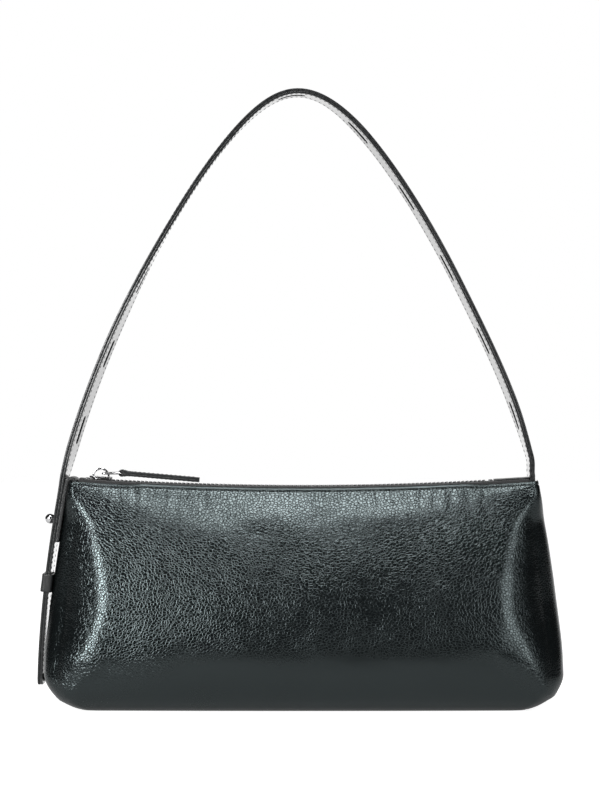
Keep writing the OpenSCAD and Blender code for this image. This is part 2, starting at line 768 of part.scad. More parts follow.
front_panel();
back_panel();
base_panel();
base_board();
lining();
slip_pocket();
zip_tape_front();
zip_tape_back();
zip_teeth_front();
zip_teeth_back();
zip_top_stops();
zip_bottom_stop();
zip_end_tab_left();
zip_end_tab_right();
slider_body();
pull_ring();
leather_pull();
strap_arch_face();
strap_arch_backing();
strap_anchor_face();
strap_anchor_backing();
strap_side_face();
strap_side_backing();
strap_tail_face();
strap_tail_backing();
side_tab();
ball_stud();
stud_screw();
keeper_loop();
tail_stop_peg();
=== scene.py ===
"""Leather shoulder bag with a zipped top and an arched strap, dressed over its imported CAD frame."""

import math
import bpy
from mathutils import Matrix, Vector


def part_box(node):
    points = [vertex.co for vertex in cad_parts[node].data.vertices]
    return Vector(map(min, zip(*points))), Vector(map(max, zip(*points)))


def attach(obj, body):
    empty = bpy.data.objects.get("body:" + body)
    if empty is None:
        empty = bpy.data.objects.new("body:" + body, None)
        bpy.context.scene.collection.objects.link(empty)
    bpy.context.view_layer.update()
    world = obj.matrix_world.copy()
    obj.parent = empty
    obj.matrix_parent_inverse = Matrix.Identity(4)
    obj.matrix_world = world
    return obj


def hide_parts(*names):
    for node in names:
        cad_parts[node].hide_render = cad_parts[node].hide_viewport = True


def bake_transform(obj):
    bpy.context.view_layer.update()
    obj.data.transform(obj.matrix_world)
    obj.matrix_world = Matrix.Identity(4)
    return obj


bl_info = {
    "name": "Leather Shoulder Bag",
    "version": (1, 0, 0),
    "blender": (4, 5, 0),
    "location": "View3D > Sidebar > Bag",
    "description": "Builds a soft leather shoulder bag with its zip, strap, stud and stitching",
    "category": "Object",
}

import bmesh
import bpy
from bpy.props import FloatProperty, FloatVectorProperty, IntProperty, PointerProperty
from mathutils import Matrix, Vector, noise

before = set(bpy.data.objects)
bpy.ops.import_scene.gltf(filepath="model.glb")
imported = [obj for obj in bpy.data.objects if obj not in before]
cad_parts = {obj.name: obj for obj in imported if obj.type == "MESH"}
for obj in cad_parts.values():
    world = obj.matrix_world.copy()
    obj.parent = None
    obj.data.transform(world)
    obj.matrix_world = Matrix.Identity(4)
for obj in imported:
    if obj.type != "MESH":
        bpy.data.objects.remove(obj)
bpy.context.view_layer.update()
PANEL_LOW, PANEL_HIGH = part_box("front_panel")


def size(name, description, default, **limits):
    """A length property in metres."""
    return FloatProperty(name=name, description=description, default=default,
                         unit="LENGTH", precision=5, **limits)


def colour(name, description, default):
    """A colour property, in linear light."""
    return FloatVectorProperty(name=name, description=description, default=default,
                               subtype="COLOR", size=3, min=0.0, max=1.0)


class BagBodySizes(bpy.types.PropertyGroup):
    top_w: size("Top length", "Length of the bag at its top corners", 0.270)
    body_w: size("Greatest length", "Length of the bag low on its sides", 0.297)
    body_h: size("Height", "Height of the top corners", round(PANEL_HIGH.z, 4))
    body_d: size("Depth", "Greatest depth of the bag", 0.086)
    base_w: size("Base length", "Length of the flat base", 0.248)
    base_d: size("Base depth", "Depth of the flat base", 0.050)
    belly_h: size("Belly height", "Height at which the bag is deepest", 0.030)
    corner_h: size("Corner height", "Height of the rounded bottom corners", 0.021)
    lip_d: size("Lip depth", "Depth over the two lips in the middle of the top", 0.018)
    top_sag: size("Top sag", "How far the middle of the top hangs", 0.0048)
    leather_t: size("Leather thickness", "Thickness of the body leather", 0.0015)
    lip_groove: size("Lip groove", "Depth of the seam under the lip", 0.00035)
    lip_seam: size("Lip seam", "Distance of that seam below the lip", 0.0019)
    lip_rise: size("Lip rise", "How far the lips curl up beside the zip", 0.0009)
    pucker: size("Pucker", "Height of the small gathers under the lip", 0.0003)
    softness: size("Softness", "Height of the slow waves in the leather", 0.0008)
    left_fold: size("Left fold", "Height of the fold that rises from the left bottom corner",
                    0.0010)
    right_fold: size("Right fold", "Height of the fold that rises from the right bottom corner",
                     0.0010)
    facet: size("Facet", "How far the leather falls away before a fold", 0.0015)
    facet_w: size("Facet width", "Width of the band in which it falls away", 0.034)
    flank: FloatProperty(name="Flank", description="Extra slope of the leather behind a fold",
                         default=0.02, min=0.0, max=0.4)


class BagStrapSizes(bpy.types.PropertyGroup):
    width: size("Strap width", "Width of the strap", 0.018)
    layer_t: size("Layer thickness", "Thickness of each leather layer", 0.0015)
    drop: size("Strap drop", "Height of the arch over the top corners", 0.223)
    stand: size("Stand", "How far the arch leans out over its sewn right end", 0.0023)
    slot_l: size("Slot length", "Length of a slot", 0.017)
    slot_w: size("Slot width", "Width of a slot", 0.004)
    slot_pitch: size("Slot pitch", "Distance from one slot to the next", 0.0473)
    slot_count: IntProperty(name="Slots", description="Slots in the arch", default=11, min=0)
    tail_end_z: size("Tail end", "Height of the tail's end", 0.0125)
    tail_spread: size("Tail spread", "How far the tail spreads from the top corner", 0.0133)
    tab_t: size("Tab thickness", "Thickness of the side tab", 0.002)
    tab_end_z: size("Tab end", "Height of the side tab's lower end", 0.095)
    stud_z: size("Stud height", "Height of the ball stud", 0.1075)
    ball_d: size("Ball", "Diameter of the stud's ball", 0.006)
    neck_d: size("Neck", "Diameter of the stud's neck", 0.0032)
    keeper_z: size("Keeper height", "Height of the keeper's middle", 0.0715)
    keeper_l: size("Keeper length", "Length of the keeper along the strap", 0.0104)
    keeper_t: size("Keeper thickness", "Thickness of the keeper", 0.0014)
    stitch_pitch: size("Stitch pitch", "Distance from one stitch to the next", 0.003)
    stitch_inset: size("Stitch inset", "Distance of the stitching from the edge", 0.0021)
    thread_d: size("Thread", "Thickness of the thread", 0.0005)


class BagZipSizes(bpy.types.PropertyGroup):
    tooth_pitch: size("Tooth pitch", "Distance from one tooth to the next on one tape", 0.0024)
    tooth_t: size("Tooth thickness", "Thickness of a tooth, up and down", 0.0024)
    chain_w: size("Chain width", "Width of the closed chain", 0.005)
    chain_rise: size("Chain rise", "Height of the chain over the lips", 0.001)
    tape_t: size("Tape thickness", "Thickness of the zip tape", 0.0006)
    slider_x: size("Slider place", "Place of the slider when the zip is closed", -0.118)
    slider_l: size("Slider length", "Length of the slider", 0.013)
    slider_w: size("Slider width", "Width of the slider", 0.0092)
    plate_t: size("Plate thickness", "Thickness of each slider plate", 0.0011)
    bridge_r: size("Bridge radius", "Outer radius of the bridge", 0.0051)
    wire_d: size("Ring wire", "Thickness of the ring's wire", 0.0013)
    ring_l: size("Ring length", "Length between the ring's end bars", 0.011)
    pull_l: size("Pull length", "Length of the leather pull", 0.045)
    pull_w: size("Pull width", "Width of the leather pull", 0.006)
    pull_t: size("Pull thickness", "Thickness of the leather pull", 0.0027)
    chain_end: size("Last tooth", "Place of the last tooth", 0.106)


class BagFinishes(bpy.types.PropertyGroup):
    body: colour("Body leather", "Colour of the body leather", (0.0031, 0.0041, 0.0044))
    strap: colour("Strap leather", "Colour of the strap leather", (0.0070, 0.0080, 0.0085))
    edge: colour("Edge paint", "Colour of the painted leather edges", (0.012, 0.013, 0.0135))
    thread: colour("Thread", "Colour of the stitching", (0.020, 0.021, 0.022))
    tape: colour("Zip tape", "Colour of the woven tape", (0.012, 0.012, 0.013))
    cloth: colour("Lining", "Colour of the lining cloth", (0.040, 0.040, 0.044))
    metal: colour("Metal", "Colour of the polished metal", (0.74, 0.74, 0.75))
    grain: size("Grain", "Size of the pebbles in the leather", 0.0017)
    gloss: FloatProperty(name="Roughness", description="Roughness of the body leather",
                         default=0.15, min=0.0, max=1.0)


class BagStudio(bpy.types.PropertyGroup):
    distance: size("Camera distance", "Distance from the camera to the bag's middle", 1.3)
    height: size("Camera height", "Height of the camera", 0.177)
    side: size("Camera side", "How far the camera stands to the side", -0.0023)
    lens: FloatProperty(name="Lens", description="Focal length in millimetres",
                        default=100.8, min=20.0)


# Directions in the frame, or in the frame of a piece.
ALONG, ACROSS, UP = Vector((1, 0, 0)), Vector((0, 1, 0)), Vector((0, 0, 1))
# Clearances in metres: between pieces that touch, in loops, and between metal pieces that run.
CLOSE, LOOSE, RUNNING = 0.0001, 0.0003, 0.00015
# How far the strap's root and the side tab reach down inside the bag's wall.
ROOT = 0.0077


def ease(low, high, value):
    """A smooth step from 0 to 1 between two values."""
    t = min(1.0, max(0.0, (value - low) / (high - low)))
    return t * t * (3 - 2 * t)


def blend(values, t, u):
    """Goes from the first value to the second with t, and on to the third with u."""
    low, middle, high = values
    first = low + (middle - low) * t
    return first + (high - first) * u


# Lines of the two soft folds, as length along the bag and height, with the flank on their left.
LEFT_FOLD = ((-0.1380, 0.0060), (-0.1287, 0.0133), (-0.1174, 0.0303), (-0.1129, 0.0472),
             (-0.1117, 0.0641), (-0.1160, 0.0810), (-0.1225, 0.0980), (-0.1270, 0.1206))
RIGHT_FOLD = ((0.1190, 0.1210), (0.1120, 0.0952), (0.1112, 0.0641), (0.1106, 0.0387),
              (0.1230, 0.0252), (0.1377, 0.0117), (0.1428, 0.0077))


def beside_line(line, x, z):
    """Distance of a spot from a line, positive on the line's left."""
    best = 1.0
    for (x0, z0), (x1, z1) in zip(line, line[1:]):
        dx, dz = x1 - x0, z1 - z0
        t = min(1.0, max(0.0, ((x - x0) * dx + (z - z0) * dz) / (dx * dx + dz * dz)))
        ox, oz = x - x0 - dx * t, z - z0 - dz * t
        reach = math.hypot(ox, oz)
        if reach < abs(best):
            best = math.copysign(reach, dx * oz - dz * ox)
    return best


class BagShape:
    """Curves of the bag's wall, from its sizes. Lengths are in metres."""

    # Exponents of the curves of the ends and of the faces, above and below the belly.
    END_TOP, END_FOOT = 1.5, 1.7
    FACE_TOP, FACE_FOOT = (1.6, 0.9), 2.2
    # Share of the way to a seam that is face, how much the face is bowed, and how far it
    # stands out at its top corners.
    FACE, BOW, COLUMN = 0.55, 0.07, 0.0038

    def __init__(self, sizes):
        for key in BagBodySizes.__annotations__:
            setattr(self, key, getattr(sizes, key))
        zips = bpy.context.scene.bag_zip
        self.arc_r = (self.top_w / 2) ** 2 / (2 * self.top_sag)
        self.chain_z = self.body_h - self.top_sag + zips.chain_rise
        self.arc_z = self.chain_z + self.arc_r

    def half_w(self, z):
        """Half the length of the bag at a height."""
        if z > self.belly_h:
            rise = (z - self.belly_h) / (self.body_h - self.belly_h)
            return self.body_w / 2 - (self.body_w - self.top_w) / 2 * rise ** self.END_TOP
        if z > self.corner_h:
            return self.body_w / 2
        share = 1 - max(0.0, 1 - z / self.corner_h) ** self.END_FOOT
        return self.base_w / 2 + (self.body_w - self.base_w) / 2 * share ** (1 / self.END_FOOT)

    def half_d(self, z):
        """Half the depth of the bag at a height, in its middle."""
        if z > self.belly_h:
            rise = min(1.0, (z - self.belly_h) / (self.body_h - self.belly_h))
            full = (1 - rise ** self.FACE_TOP[0]) ** self.FACE_TOP[1]
            return self.lip_d / 2 + (self.body_d - self.lip_d) / 2 * full
        share = 1 - max(0.0, 1 - z / self.belly_h) ** self.FACE_FOOT
        return self.base_d / 2 + (self.body_d - self.base_d) / 2 * share ** (1 / self.FACE_FOOT)

    def sag(self, share, z):
        """How far a spot hangs, at a share of the half length and a height."""
        rise = max(0.0, z - self.belly_h) / (self.body_h - self.belly_h)
        return self.top_sag * (1 - share * share) * rise * rise

    def wall(self, t, z, inset=0.0, back=False):
        """A point of the wall: t runs from the left seam (-1) over the face to the right seam."""
        a, b = self.half_w(z) - inset, self.half_d(z) - inset
        fill = ease(0, self.body_h * 0.56, z)
        square = ease(self.body_h * 0.8, self.body_h, z)
        rx, ry = b * blend((0.26, 1, 0.3), fill, square), b * blend((0.4, 0.96, 0.3), fill, square)
        turn = min(1.0, max(0.0, (abs(t) - self.FACE) / (1 - self.FACE)))
        angle = math.radians(90 * min(1.0, turn * 6 / 5))
        slide = max(0.0, turn * 6 - 5)
        x = (a - rx) * min(1.0, abs(t) / self.FACE) + rx * math.sin(angle)
        y = (b - ry) * (1 - slide) + ry * math.cos(angle)
        column = self.COLUMN * (x / a) ** 10 * square * (y / b)
        depth = y * (1 - self.BOW * (x / a) ** 2) + column
        return Vector((math.copysign(x, t), depth if back else -depth, z - self.sag(x / a, z)))

    def arc_point(self, s, across=0.0, up=0.0):
        """A point beside the zip's middle line, at a distance s along it."""
        angle = s / self.arc_r
        r = self.arc_r - up
        return Vector((r * math.sin(angle), across, self.arc_z - r * math.cos(angle)))

    def arc_frame(self, s, across=0.0, up=0.0):
        """The frame of a piece on the zip: X along it, Z out of the bag."""
        turn = Matrix.Rotation(-s / self.arc_r, 4, "Y")
        return Matrix.Translation(self.arc_point(s, across, up)) @ turn


class StrapLine:
    """The strap's middle line in the plane of the bag, from the tail's end over the arch."""

    # Terms of the polynomial whose root is the half width of the arch, and the twist of the
    # strap in degrees at heights on its left and on its right side.
    ARCH = (0.634, 0.89)
    LEFT_TWIST = ((0.120, 0), (0.152, 8), (0.205, 7), (0.290, -4), (0.318, -4))
    RIGHT_TWIST = ((0.330, 6), (0.175, 6), (0.136, 0))

    def __init__(self, shape, sizes):
        self.left = shape.top_w / 2 + CLOSE + LOOSE + sizes.tab_t + sizes.layer_t
        self.right = shape.top_w / 2 - shape.leather_t - CLOSE - sizes.layer_t
        self.middle, self.half = (self.right - self.left) / 2, (self.right + self.left) / 2
        self.arch_z, self.drop = shape.body_h + sizes.layer_t + LOOSE, sizes.drop
        self.tail_end_z, self.spread = sizes.tail_end_z, sizes.tail_spread
        self.stand = sizes.stand
        steps = 160
        side = [self.side_point(self.tail_end_z + (self.arch_z - self.tail_end_z) * i / steps)
                for i in range(steps)]
        arch = [self.arch_point(-1, 1 - (1 - i / steps) ** 2) for i in range(steps)]
        arch += [self.arch_point(1, 1 - (i / steps) ** 2) for i in range(steps + 1)]
        sewn = [Vector((shape.half_w(z) - shape.leather_t - LOOSE - sizes.layer_t, 0, z))
                for z in [shape.body_h - depth for depth in (0.0, 0.0025, 0.005, ROOT)]]
        self.points = side + arch + sewn
        self.sums = [0.0]
        for a, b in zip(self.points, self.points[1:]):
            self.sums.append(self.sums[-1] + (b - a).length)
        self.length = self.sums[-1]
        self.twists = [(self.along_at(z), math.radians(turn)) for z, turn in self.LEFT_TWIST]
        self.twists += [(self.along_at(self.arch_z + self.drop - 1e-6), 0.0)]
        self.twists += [(self.along_at(z, right=True), math.radians(turn))
                        for z, turn in self.RIGHT_TWIST]

    def side_point(self, z):
        """The line on the left side, which spreads towards the tail's end."""
        share = 1 - (self.arch_z - z) / (self.arch_z - self.tail_end_z)
        return Vector((-self.left - self.spread * (1 - max(0.0, share) ** 1.7), 0, z))

    def arch_point(self, side, t):
        """The arch on a side (-1 or 1), at a share of its height."""
        u, (a, b) = 1 - t, self.ARCH
        spread = math.sqrt(max(0.0, u * (a + b * u + (1 - a - b) * u * u)))
        lean = self.stand * ease(0, 0.05, t) * (1 - ease(0.15, 0.5, t)) * max(0, side)
        return Vector((self.middle + side * self.half * spread + lean, 0,
                       self.arch_z + self.drop * t))

    def along_at(self, z, right=False):
        """Distance along the line at which it passes a height, on the left or right side."""
        order = range(len(self.points) - 1)
        for i in (reversed(order) if right else order):
            a, b = self.points[i], self.points[i + 1]
            low, high = min(a.z, b.z), max(a.z, b.z)
            if low <= z <= high and high > low:
                return self.sums[i] + (self.sums[i + 1] - self.sums[i]) * (z - a.z) / (b.z - a.z)
        raise ValueError("the strap doesn't pass that height")

    def index(self, s):
        """Number of the step of the line that holds the distance."""
        low, high = 0, len(self.sums) - 2
        while low < high:
            middle = (low + high + 1) // 2
            if self.sums[middle] <= s:
                low = middle
            else:
                high = middle - 1
        return low

    def point(self, s):
        """The spot of the line at a distance along it."""
        i = self.index(s)
        t = (s - self.sums[i]) / (self.sums[i + 1] - self.sums[i])
        return self.points[i].lerp(self.points[i + 1], t)

    def twist(self, s):
        """How far the strap is turned about its line, in radians."""
        for (s0, a0), (s1, a1) in zip(self.twists, self.twists[1:]):
            if s0 <= s <= s1:
                return a0 + (a1 - a0) * ease(s0, s1, s)
        return 0.0

    def axes(self, s):
        """Directions along, across and outwards at a distance along the strap."""
        near, far = self.point(max(0.0, s - 0.002)), self.point(min(self.length, s + 0.002))
        along = (far - near).normalized()
        out = Vector((-along.z, 0, along.x))
        turn = self.twist(s)
        return (along, ACROSS * math.cos(turn) - out * math.sin(turn),
                out * math.cos(turn) + ACROSS * math.sin(turn))

    def place(self, s, across, out):
        """A spot of the strap beside its line."""
        along, side, outward = self.axes(s)
        return self.point(s) + side * across + outward * out

    def fitting(self, z, reach):
        """Frame of a fitting on the left side: X up the strap, Y across it, Z outwards."""
        spot = self.side_point(z)
        up = (self.side_point(z + reach) - spot).normalized()
        turn = Matrix((up, ACROSS, Vector((-up.z, 0, up.x)))).transposed()
        return Matrix.Translation(spot) @ turn.to_4x4()


def bag_shape():
    return BagShape(bpy.context.scene.bag_body)


def strap_line():
    return StrapLine(bag_shape(), bpy.context.scene.bag_strap)


def new_mesh():
    """An empty mesh with a layer for its map."""
    bm = bmesh.new()
    bm.loops.layers.uv.new("UVMap")
    return bm


def only_verts(geom):
    """The vertices among the results of a mesh operation."""
    return [g for g in geom if isinstance(g, bmesh.types.BMVert)]


def face_outwards(bm):
    bmesh.ops.recalc_face_normals(bm, faces=bm.faces[:])


def weld(bm, reach=1e-6):
    bmesh.ops.remove_doubles(bm, verts=bm.verts[:], dist=reach)


def push_out(bm, step):
    """Makes a closed solid of a sheet: its faces stay and are also moved by a vector."""
    grown = bmesh.ops.extrude_face_region(bm, geom=bm.faces[:], use_keep_orig=True)
    bmesh.ops.translate(bm, vec=step, verts=only_verts(grown["geom"]))


def absorb(whole, part):
    """Adds the mesh of a part to another and frees the part."""
    mesh = bpy.data.meshes.new("part")
    part.to_mesh(mesh)
    part.free()
    whole.from_mesh(mesh)
    bpy.data.meshes.remove(mesh)


def grid(columns, rows, place, uv_size=(1.0, 1.0)):
    """A sheet of faces whose vertices are placed from shares across and up it."""
    bm = new_mesh()
    bmesh.ops.create_grid(bm, x_segments=columns, y_segments=rows, size=0.5)
    uv = bm.loops.layers.uv.active
    for face in bm.faces:
        for loop in face.loops:
            x, y = loop.vert.co.x + 0.5, loop.vert.co.y + 0.5
            loop[uv].uv = (x * uv_size[0], y * uv_size[1])
    for vert in bm.verts:
        vert.co = place(vert.co.x + 0.5, vert.co.y + 0.5)
    bm.normal_update()
    return bm


def slab(columns, rows, place):
    """A closed solid whose vertices are placed from shares along, across and through it."""
    bm = grid(columns, rows, lambda u, v: Vector((u, v, 0)))
    push_out(bm, (0, 0, 1))
    for vert in bm.verts:
        vert.co = place(*vert.co)
    face_outwards(bm)
    return bm


def round_edges(bm, width, segments=2, above=40.0):
    """Bevels the edges whose faces meet at more than an angle in degrees."""
    bm.normal_update()
    sharp = [e for e in bm.edges if len(e.link_faces) == 2
             and e.calc_face_angle(0.0) > math.radians(above)]
    bmesh.ops.bevel(bm, geom=sharp, offset=width, offset_type="OFFSET", affect="EDGES",
                    segments=segments, profile=0.5, material=-1, clamp_overlap=True)


def solid_from(outline, step):
    """Extrudes a flat outline of points by a vector and gives the closed solid."""
    bm = new_mesh()
    bm.faces.new([bm.verts.new(p) for p in outline])
    push_out(bm, step)
    face_outwards(bm)
    return bm


def brick(sides, rounding):
    """A box with rounded edges about the origin."""
    bm = new_mesh()
    bmesh.ops.create_cube(bm, size=1.0)
    bmesh.ops.scale(bm, vec=sides, verts=bm.verts)
    round_edges(bm, rounding, 2)
    return bm


def rounded_frame(half_x, half_y, radius, steps):
    """The outline of a rectangle with rounded corners, about the origin."""
    points = []
    for x, y, start in ((1, 1, 0), (-1, 1, 90), (-1, -1, 180), (1, -1, 270)):
        for i in range(steps + 1):
            a = math.radians(start + 90 * i / steps)
            points.append((x * (half_x - radius) + radius * math.cos(a),
                           y * (half_y - radius) + radius * math.sin(a)))
    return points


def turned(profile, segments=32):
    """Spins a profile of (radius, height) points about the Z axis."""
    bm = new_mesh()
    verts = [bm.verts.new((r, 0, h)) for r, h in profile]
    edges = [bm.edges.new(pair) for pair in zip(verts, verts[1:])]
    bmesh.ops.spin(bm, geom=verts + edges, cent=(0, 0, 0), axis=(0, 0, 1),
                   angle=math.tau, steps=segments, use_merge=True)
    weld(bm, 1e-7)
    face_outwards(bm)
    return bm


def wire_ring(points, radius, sides=5):
    """A closed ring of round wire along points, as a mesh."""
    data = bpy.data.curves.new("wire", "CURVE")
    data.dimensions = "3D"
    data.bevel_depth, data.bevel_resolution = radius, sides
    data.use_fill_caps = False
    spline = data.splines.new("POLY")
    spline.points.add(len(points) - 1)
    for spot, p in zip(spline.points, points):
        spot.co = (*p, 1.0)
    spline.use_cyclic_u = True
    holder = bpy.data.objects.new("wire", data)
    bpy.context.scene.collection.objects.link(holder)
    bpy.context.view_layer.update()
    mesh = bpy.data.meshes.new_from_object(holder.evaluated_get(
        bpy.context.evaluated_depsgraph_get()))
    bm = bmesh.new()
    bm.from_mesh(mesh)
    bpy.data.objects.remove(holder)
    bpy.data.curves.remove(data)
    bpy.data.meshes.remove(mesh)
    face_outwards(bm)
    return bm


def stitches(places, length, thread_d):
    """Thread knots at (point, direction, normal) places."""
    knot = new_mesh()
    bmesh.ops.create_uvsphere(knot, u_segments=5, v_segments=6, radius=0.5,
                              matrix=Matrix.Diagonal((length, thread_d, thread_d, 1.0))
                              @ Matrix.Rotation(math.pi / 2, 4, "Y"))
    plain = bpy.data.meshes.new("knot")
    knot.to_mesh(plain)
    knot.free()
    bm = new_mesh()
    for point, along, normal in places:
        side = normal.cross(along).normalized()
        turn = Matrix((along, side, normal)).transposed().to_4x4()
        placed = plain.copy()
        placed.transform(Matrix.Translation(point) @ turn)
        bm.from_mesh(placed)
        bpy.data.meshes.remove(placed)
    bpy.data.meshes.remove(plain)
    return bm


def piece(bm, name, finish, body, slot, stands_for=(), smooth=60.0, moved=None, bends=None):
    """Makes a finished piece of a mesh: its finish, what it rides on and what it stands for."""
    if moved is not None:
        bm.transform(moved)
    mesh = bpy.data.meshes.new(name)
    bm.to_mesh(mesh)
    bm.free()
    mesh.materials.append(finish)
    mesh.shade_smooth()
    mesh.set_sharp_from_angle(angle=math.radians(smooth))
    made = bpy.data.objects.new(name, mesh)
    bpy.context.scene.collection.objects.link(made)
    if bends:
        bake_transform(made)
    else:
        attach(made, body)
    if stands_for:
        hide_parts(*stands_for)
    return made


def sew(name, places, length, thread_d, body, slot, **how):
    """Makes a piece of stitches."""
    piece(stitches(places, length, thread_d), name, finish("thread"), body, slot, **how)


def thicken(made, thickness, offset=0.0, rounding=0.0):
    """Gives a sheet its thickness and, where asked for, rounded edges."""
    wall = made.modifiers.new("thickness", "SOLIDIFY")
    wall.thickness, wall.offset = thickness, offset
    if rounding:
        edge = made.modifiers.new("rounding", "BEVEL")
        edge.width, edge.segments, edge.limit_method = rounding, 2, "ANGLE"


class Nodes:
    """A short way to write the nodes of a material or of the world."""

    def __init__(self, owner, shader="Principled BSDF"):
        self.owner = owner
        owner.use_nodes = True
        self.tree = owner.node_tree
        self.shader = self.tree.nodes[shader]
        self.coords = self.add("ShaderNodeTexCoord").outputs
        self.place = self.coords["Object"]

    def add(self, kind, inputs=None, **settings):
        """Makes a node, with settings, and with values or links for its inputs."""
        node = self.tree.nodes.new(kind)
        for key, value in settings.items():
            setattr(node, key, value)
        for key, value in (inputs or {}).items():
            self.feed(node.inputs[key], value)
        return node

    def parts(self, vector):
        """The X, Y and Z of a vector."""
        return self.add("ShaderNodeSeparateXYZ", {0: vector}).outputs

    def feed(self, socket, value):
        if isinstance(value, bpy.types.NodeSocket):
            self.tree.links.new(value, socket)
        else:
            socket.default_value = value

    def math(self, kind, a, b=0.0):
        return self.add("ShaderNodeMath", {0: a, 1: b}, operation=kind).outputs[0]

    def vector(self, kind, a, b):
        key = "Scale" if kind == "SCALE" else 1
        return self.add("ShaderNodeVectorMath", {0: a, key: b}, operation=kind).outputs[0]

    def total(self, *terms):
        """The sum of (value, weight) terms."""
        parts = [self.math("MULTIPLY", value, weight) for value, weight in terms]
        whole = parts[0]
        for part in parts[1:]:
            whole = self.math("ADD", whole, part)
        return whole

    def scaled(self, vector, scale):
        return self.add("ShaderNodeMapping", {"Vector": vector, "Scale": scale}).outputs[0]

    def noise(self, vector, scale, detail=2.0, rough=0.5):
        return self.add("ShaderNodeTexNoise", {"Vector": vector, "Scale": scale, "Detail": detail,
                                               "Roughness": rough}).outputs["Fac"]

    def swirl(self, vector, scale, reach):
        """The vector pushed about by a slow noise."""
        push = self.add("ShaderNodeTexNoise", {"Vector": vector, "Scale": scale,
                                               "Detail": 1.0}).outputs["Color"]
        push = self.vector("SCALE", self.vector("SUBTRACT", push, (0.5, 0.5, 0.5)), reach)
        return self.vector("ADD", vector, push)

    def cells(self, vector, scale):
        """Distance from the edges of cells."""
        return self.add("ShaderNodeTexVoronoi", {"Vector": vector, "Scale": scale},
                        feature="DISTANCE_TO_EDGE").outputs["Distance"]

    def ramp(self, value, low, high, start=0.0, end=1.0, kind="LINEAR"):
        return self.add("ShaderNodeMapRange", {"Value": value, "From Min": low, "From Max": high,
                                               "To Min": start, "To Max": end},
                        interpolation_type=kind).outputs[0]

    def mix(self, share, a, b):
        node = self.add("ShaderNodeMix", data_type="RGBA")
        self.feed(node.inputs["Factor"], share)
        self.feed(node.inputs[6], a)
        self.feed(node.inputs[7], b)
        return node.outputs[2]

    def tone(self, share, rgb, dark, light):
        """A mix of a darker and a lighter tone of a colour."""
        return self.mix(share, shade(rgb, dark), shade(rgb, light))

    def bump(self, height, distance, under=None):
        node = self.add("ShaderNodeBump", {"Height": height, "Distance": distance,
                                           "Strength": 1.0})
        if under is not None:
            self.feed(node.inputs["Normal"], under)
        return node.outputs["Normal"]

    def set(self, **values):
        """Feeds the shader's inputs and gives the finished material or world."""
        for key, value in values.items():
            self.feed(self.shader.inputs[key.replace("_", " ")], value)
        return self.owner


def surface(name):
    """The nodes of a new material."""
    return Nodes(bpy.data.materials.new(name))


def shade(rgb, factor):
    """A colour made darker or lighter, with its opacity."""
    return (*[min(1.0, c * factor) for c in rgb], 1.0)


def pebbled_leather(name, rgb, grain, rough, depth=0.00008):
    """Soft milled leather: flat pebbles between narrow valleys, wrinkles and slow waves.

    Where a piece has an attribute "calm" that is near 1, its leather is stretched smooth."""
    n = surface(name)
    calm = n.add("ShaderNodeAttribute", attribute_name="calm").outputs["Fac"]
    pushed = n.swirl(n.swirl(n.place, 70.0, 0.0026), 520.0, 0.0006)
    pebbles = n.cells(n.scaled(pushed, (1.0, 1.0, 1.2)), 1.0 / grain)
    plateau, dome = n.ramp(pebbles, 0.0, 0.13), n.ramp(pebbles, 0.0, 0.5)
    wrinkles = n.noise(n.scaled(pushed, (1.0, 1.0, 0.55)), 330.0, 3.0, 0.55)
    wrinkles = n.ramp(n.math("ABSOLUTE", n.math("SUBTRACT", wrinkles, 0.5)), 0.0, 0.05)
    fine = n.noise(n.place, 2600.0, 2.0, 0.6)
    height = n.total((plateau, 0.50), (wrinkles, 0.15), (dome, 0.34), (fine, 0.015))
    height = n.math("MULTIPLY", height, n.math("SUBTRACT", 1.0, calm))
    normal = n.bump(height, depth, n.bump(n.noise(n.place, 38.0), 0.0005))
    patch = n.noise(n.place, 24.0, 3.0)
    # Painted shade: the valleys between the pebbles are coloured darker and the pebble tops a little
    # lighter, and leather drawn smooth takes the darkest tone. Slow patches are lighter at random.
    tone = n.tone(n.ramp(height, 0.15, 0.9), rgb, 0.3, 1.2)
    tone = n.mix(n.ramp(patch, 0.35, 0.65, 0.0, 0.15), tone, shade(rgb, 1.7))
    roughness = n.ramp(height, 0.1, 0.95, rough + 0.15, rough - 0.02)
    roughness = n.math("ADD", roughness, n.ramp(patch, 0.3, 0.7, -0.03, 0.04))
    return n.set(Base_Color=tone, Roughness=roughness, Normal=normal, Specular_IOR_Level=0.6,
                 Specular_Tint=(0.84, 1.0, 1.02, 1.0))


def smooth_leather(name, rgb, rough, depth=0.00009, lacquer=0.0):
    """Finer leather for the strap and trims: pores, and a clear coat where it is lacquered."""
    n = surface(name)
    pores = n.ramp(n.cells(n.swirl(n.place, 260.0, 0.0014), 1300.0), 0.0, 0.3)
    fine = n.noise(n.place, 3200.0, 3.0, 0.6)
    patch = n.noise(n.place, 60.0, 3.0)
    normal = n.bump(n.total((pores, 0.7), (fine, 0.3)), depth, n.bump(patch, depth * 8))
    return n.set(Base_Color=n.tone(n.ramp(patch, 0.3, 0.7), rgb, 0.75, 1.35),
                 Roughness=n.ramp(patch, 0.3, 0.7, rough - 0.05, rough + 0.07), Normal=normal,
                 Specular_IOR_Level=0.5, Coat_Weight=lacquer, Coat_Roughness=0.08, Coat_IOR=1.6)


def painted_edge(name, rgb):
    """Paint on a cut edge, with drops and the trace of the layers under it."""
    n = surface(name)
    drops = n.noise(n.place, 700.0)
    layers = n.noise(n.scaled(n.place, (1.0, 1.0, 0.2)), 300.0)
    tone = n.tone(n.ramp(drops, 0.35, 0.65), rgb, 0.7, 1.3)
    normal = n.bump(n.math("ADD", drops, n.math("MULTIPLY", layers, 0.5)), 0.00012)
    return n.set(Base_Color=tone, Roughness=n.ramp(drops, 0.3, 0.7, 0.26, 0.38), Normal=normal)


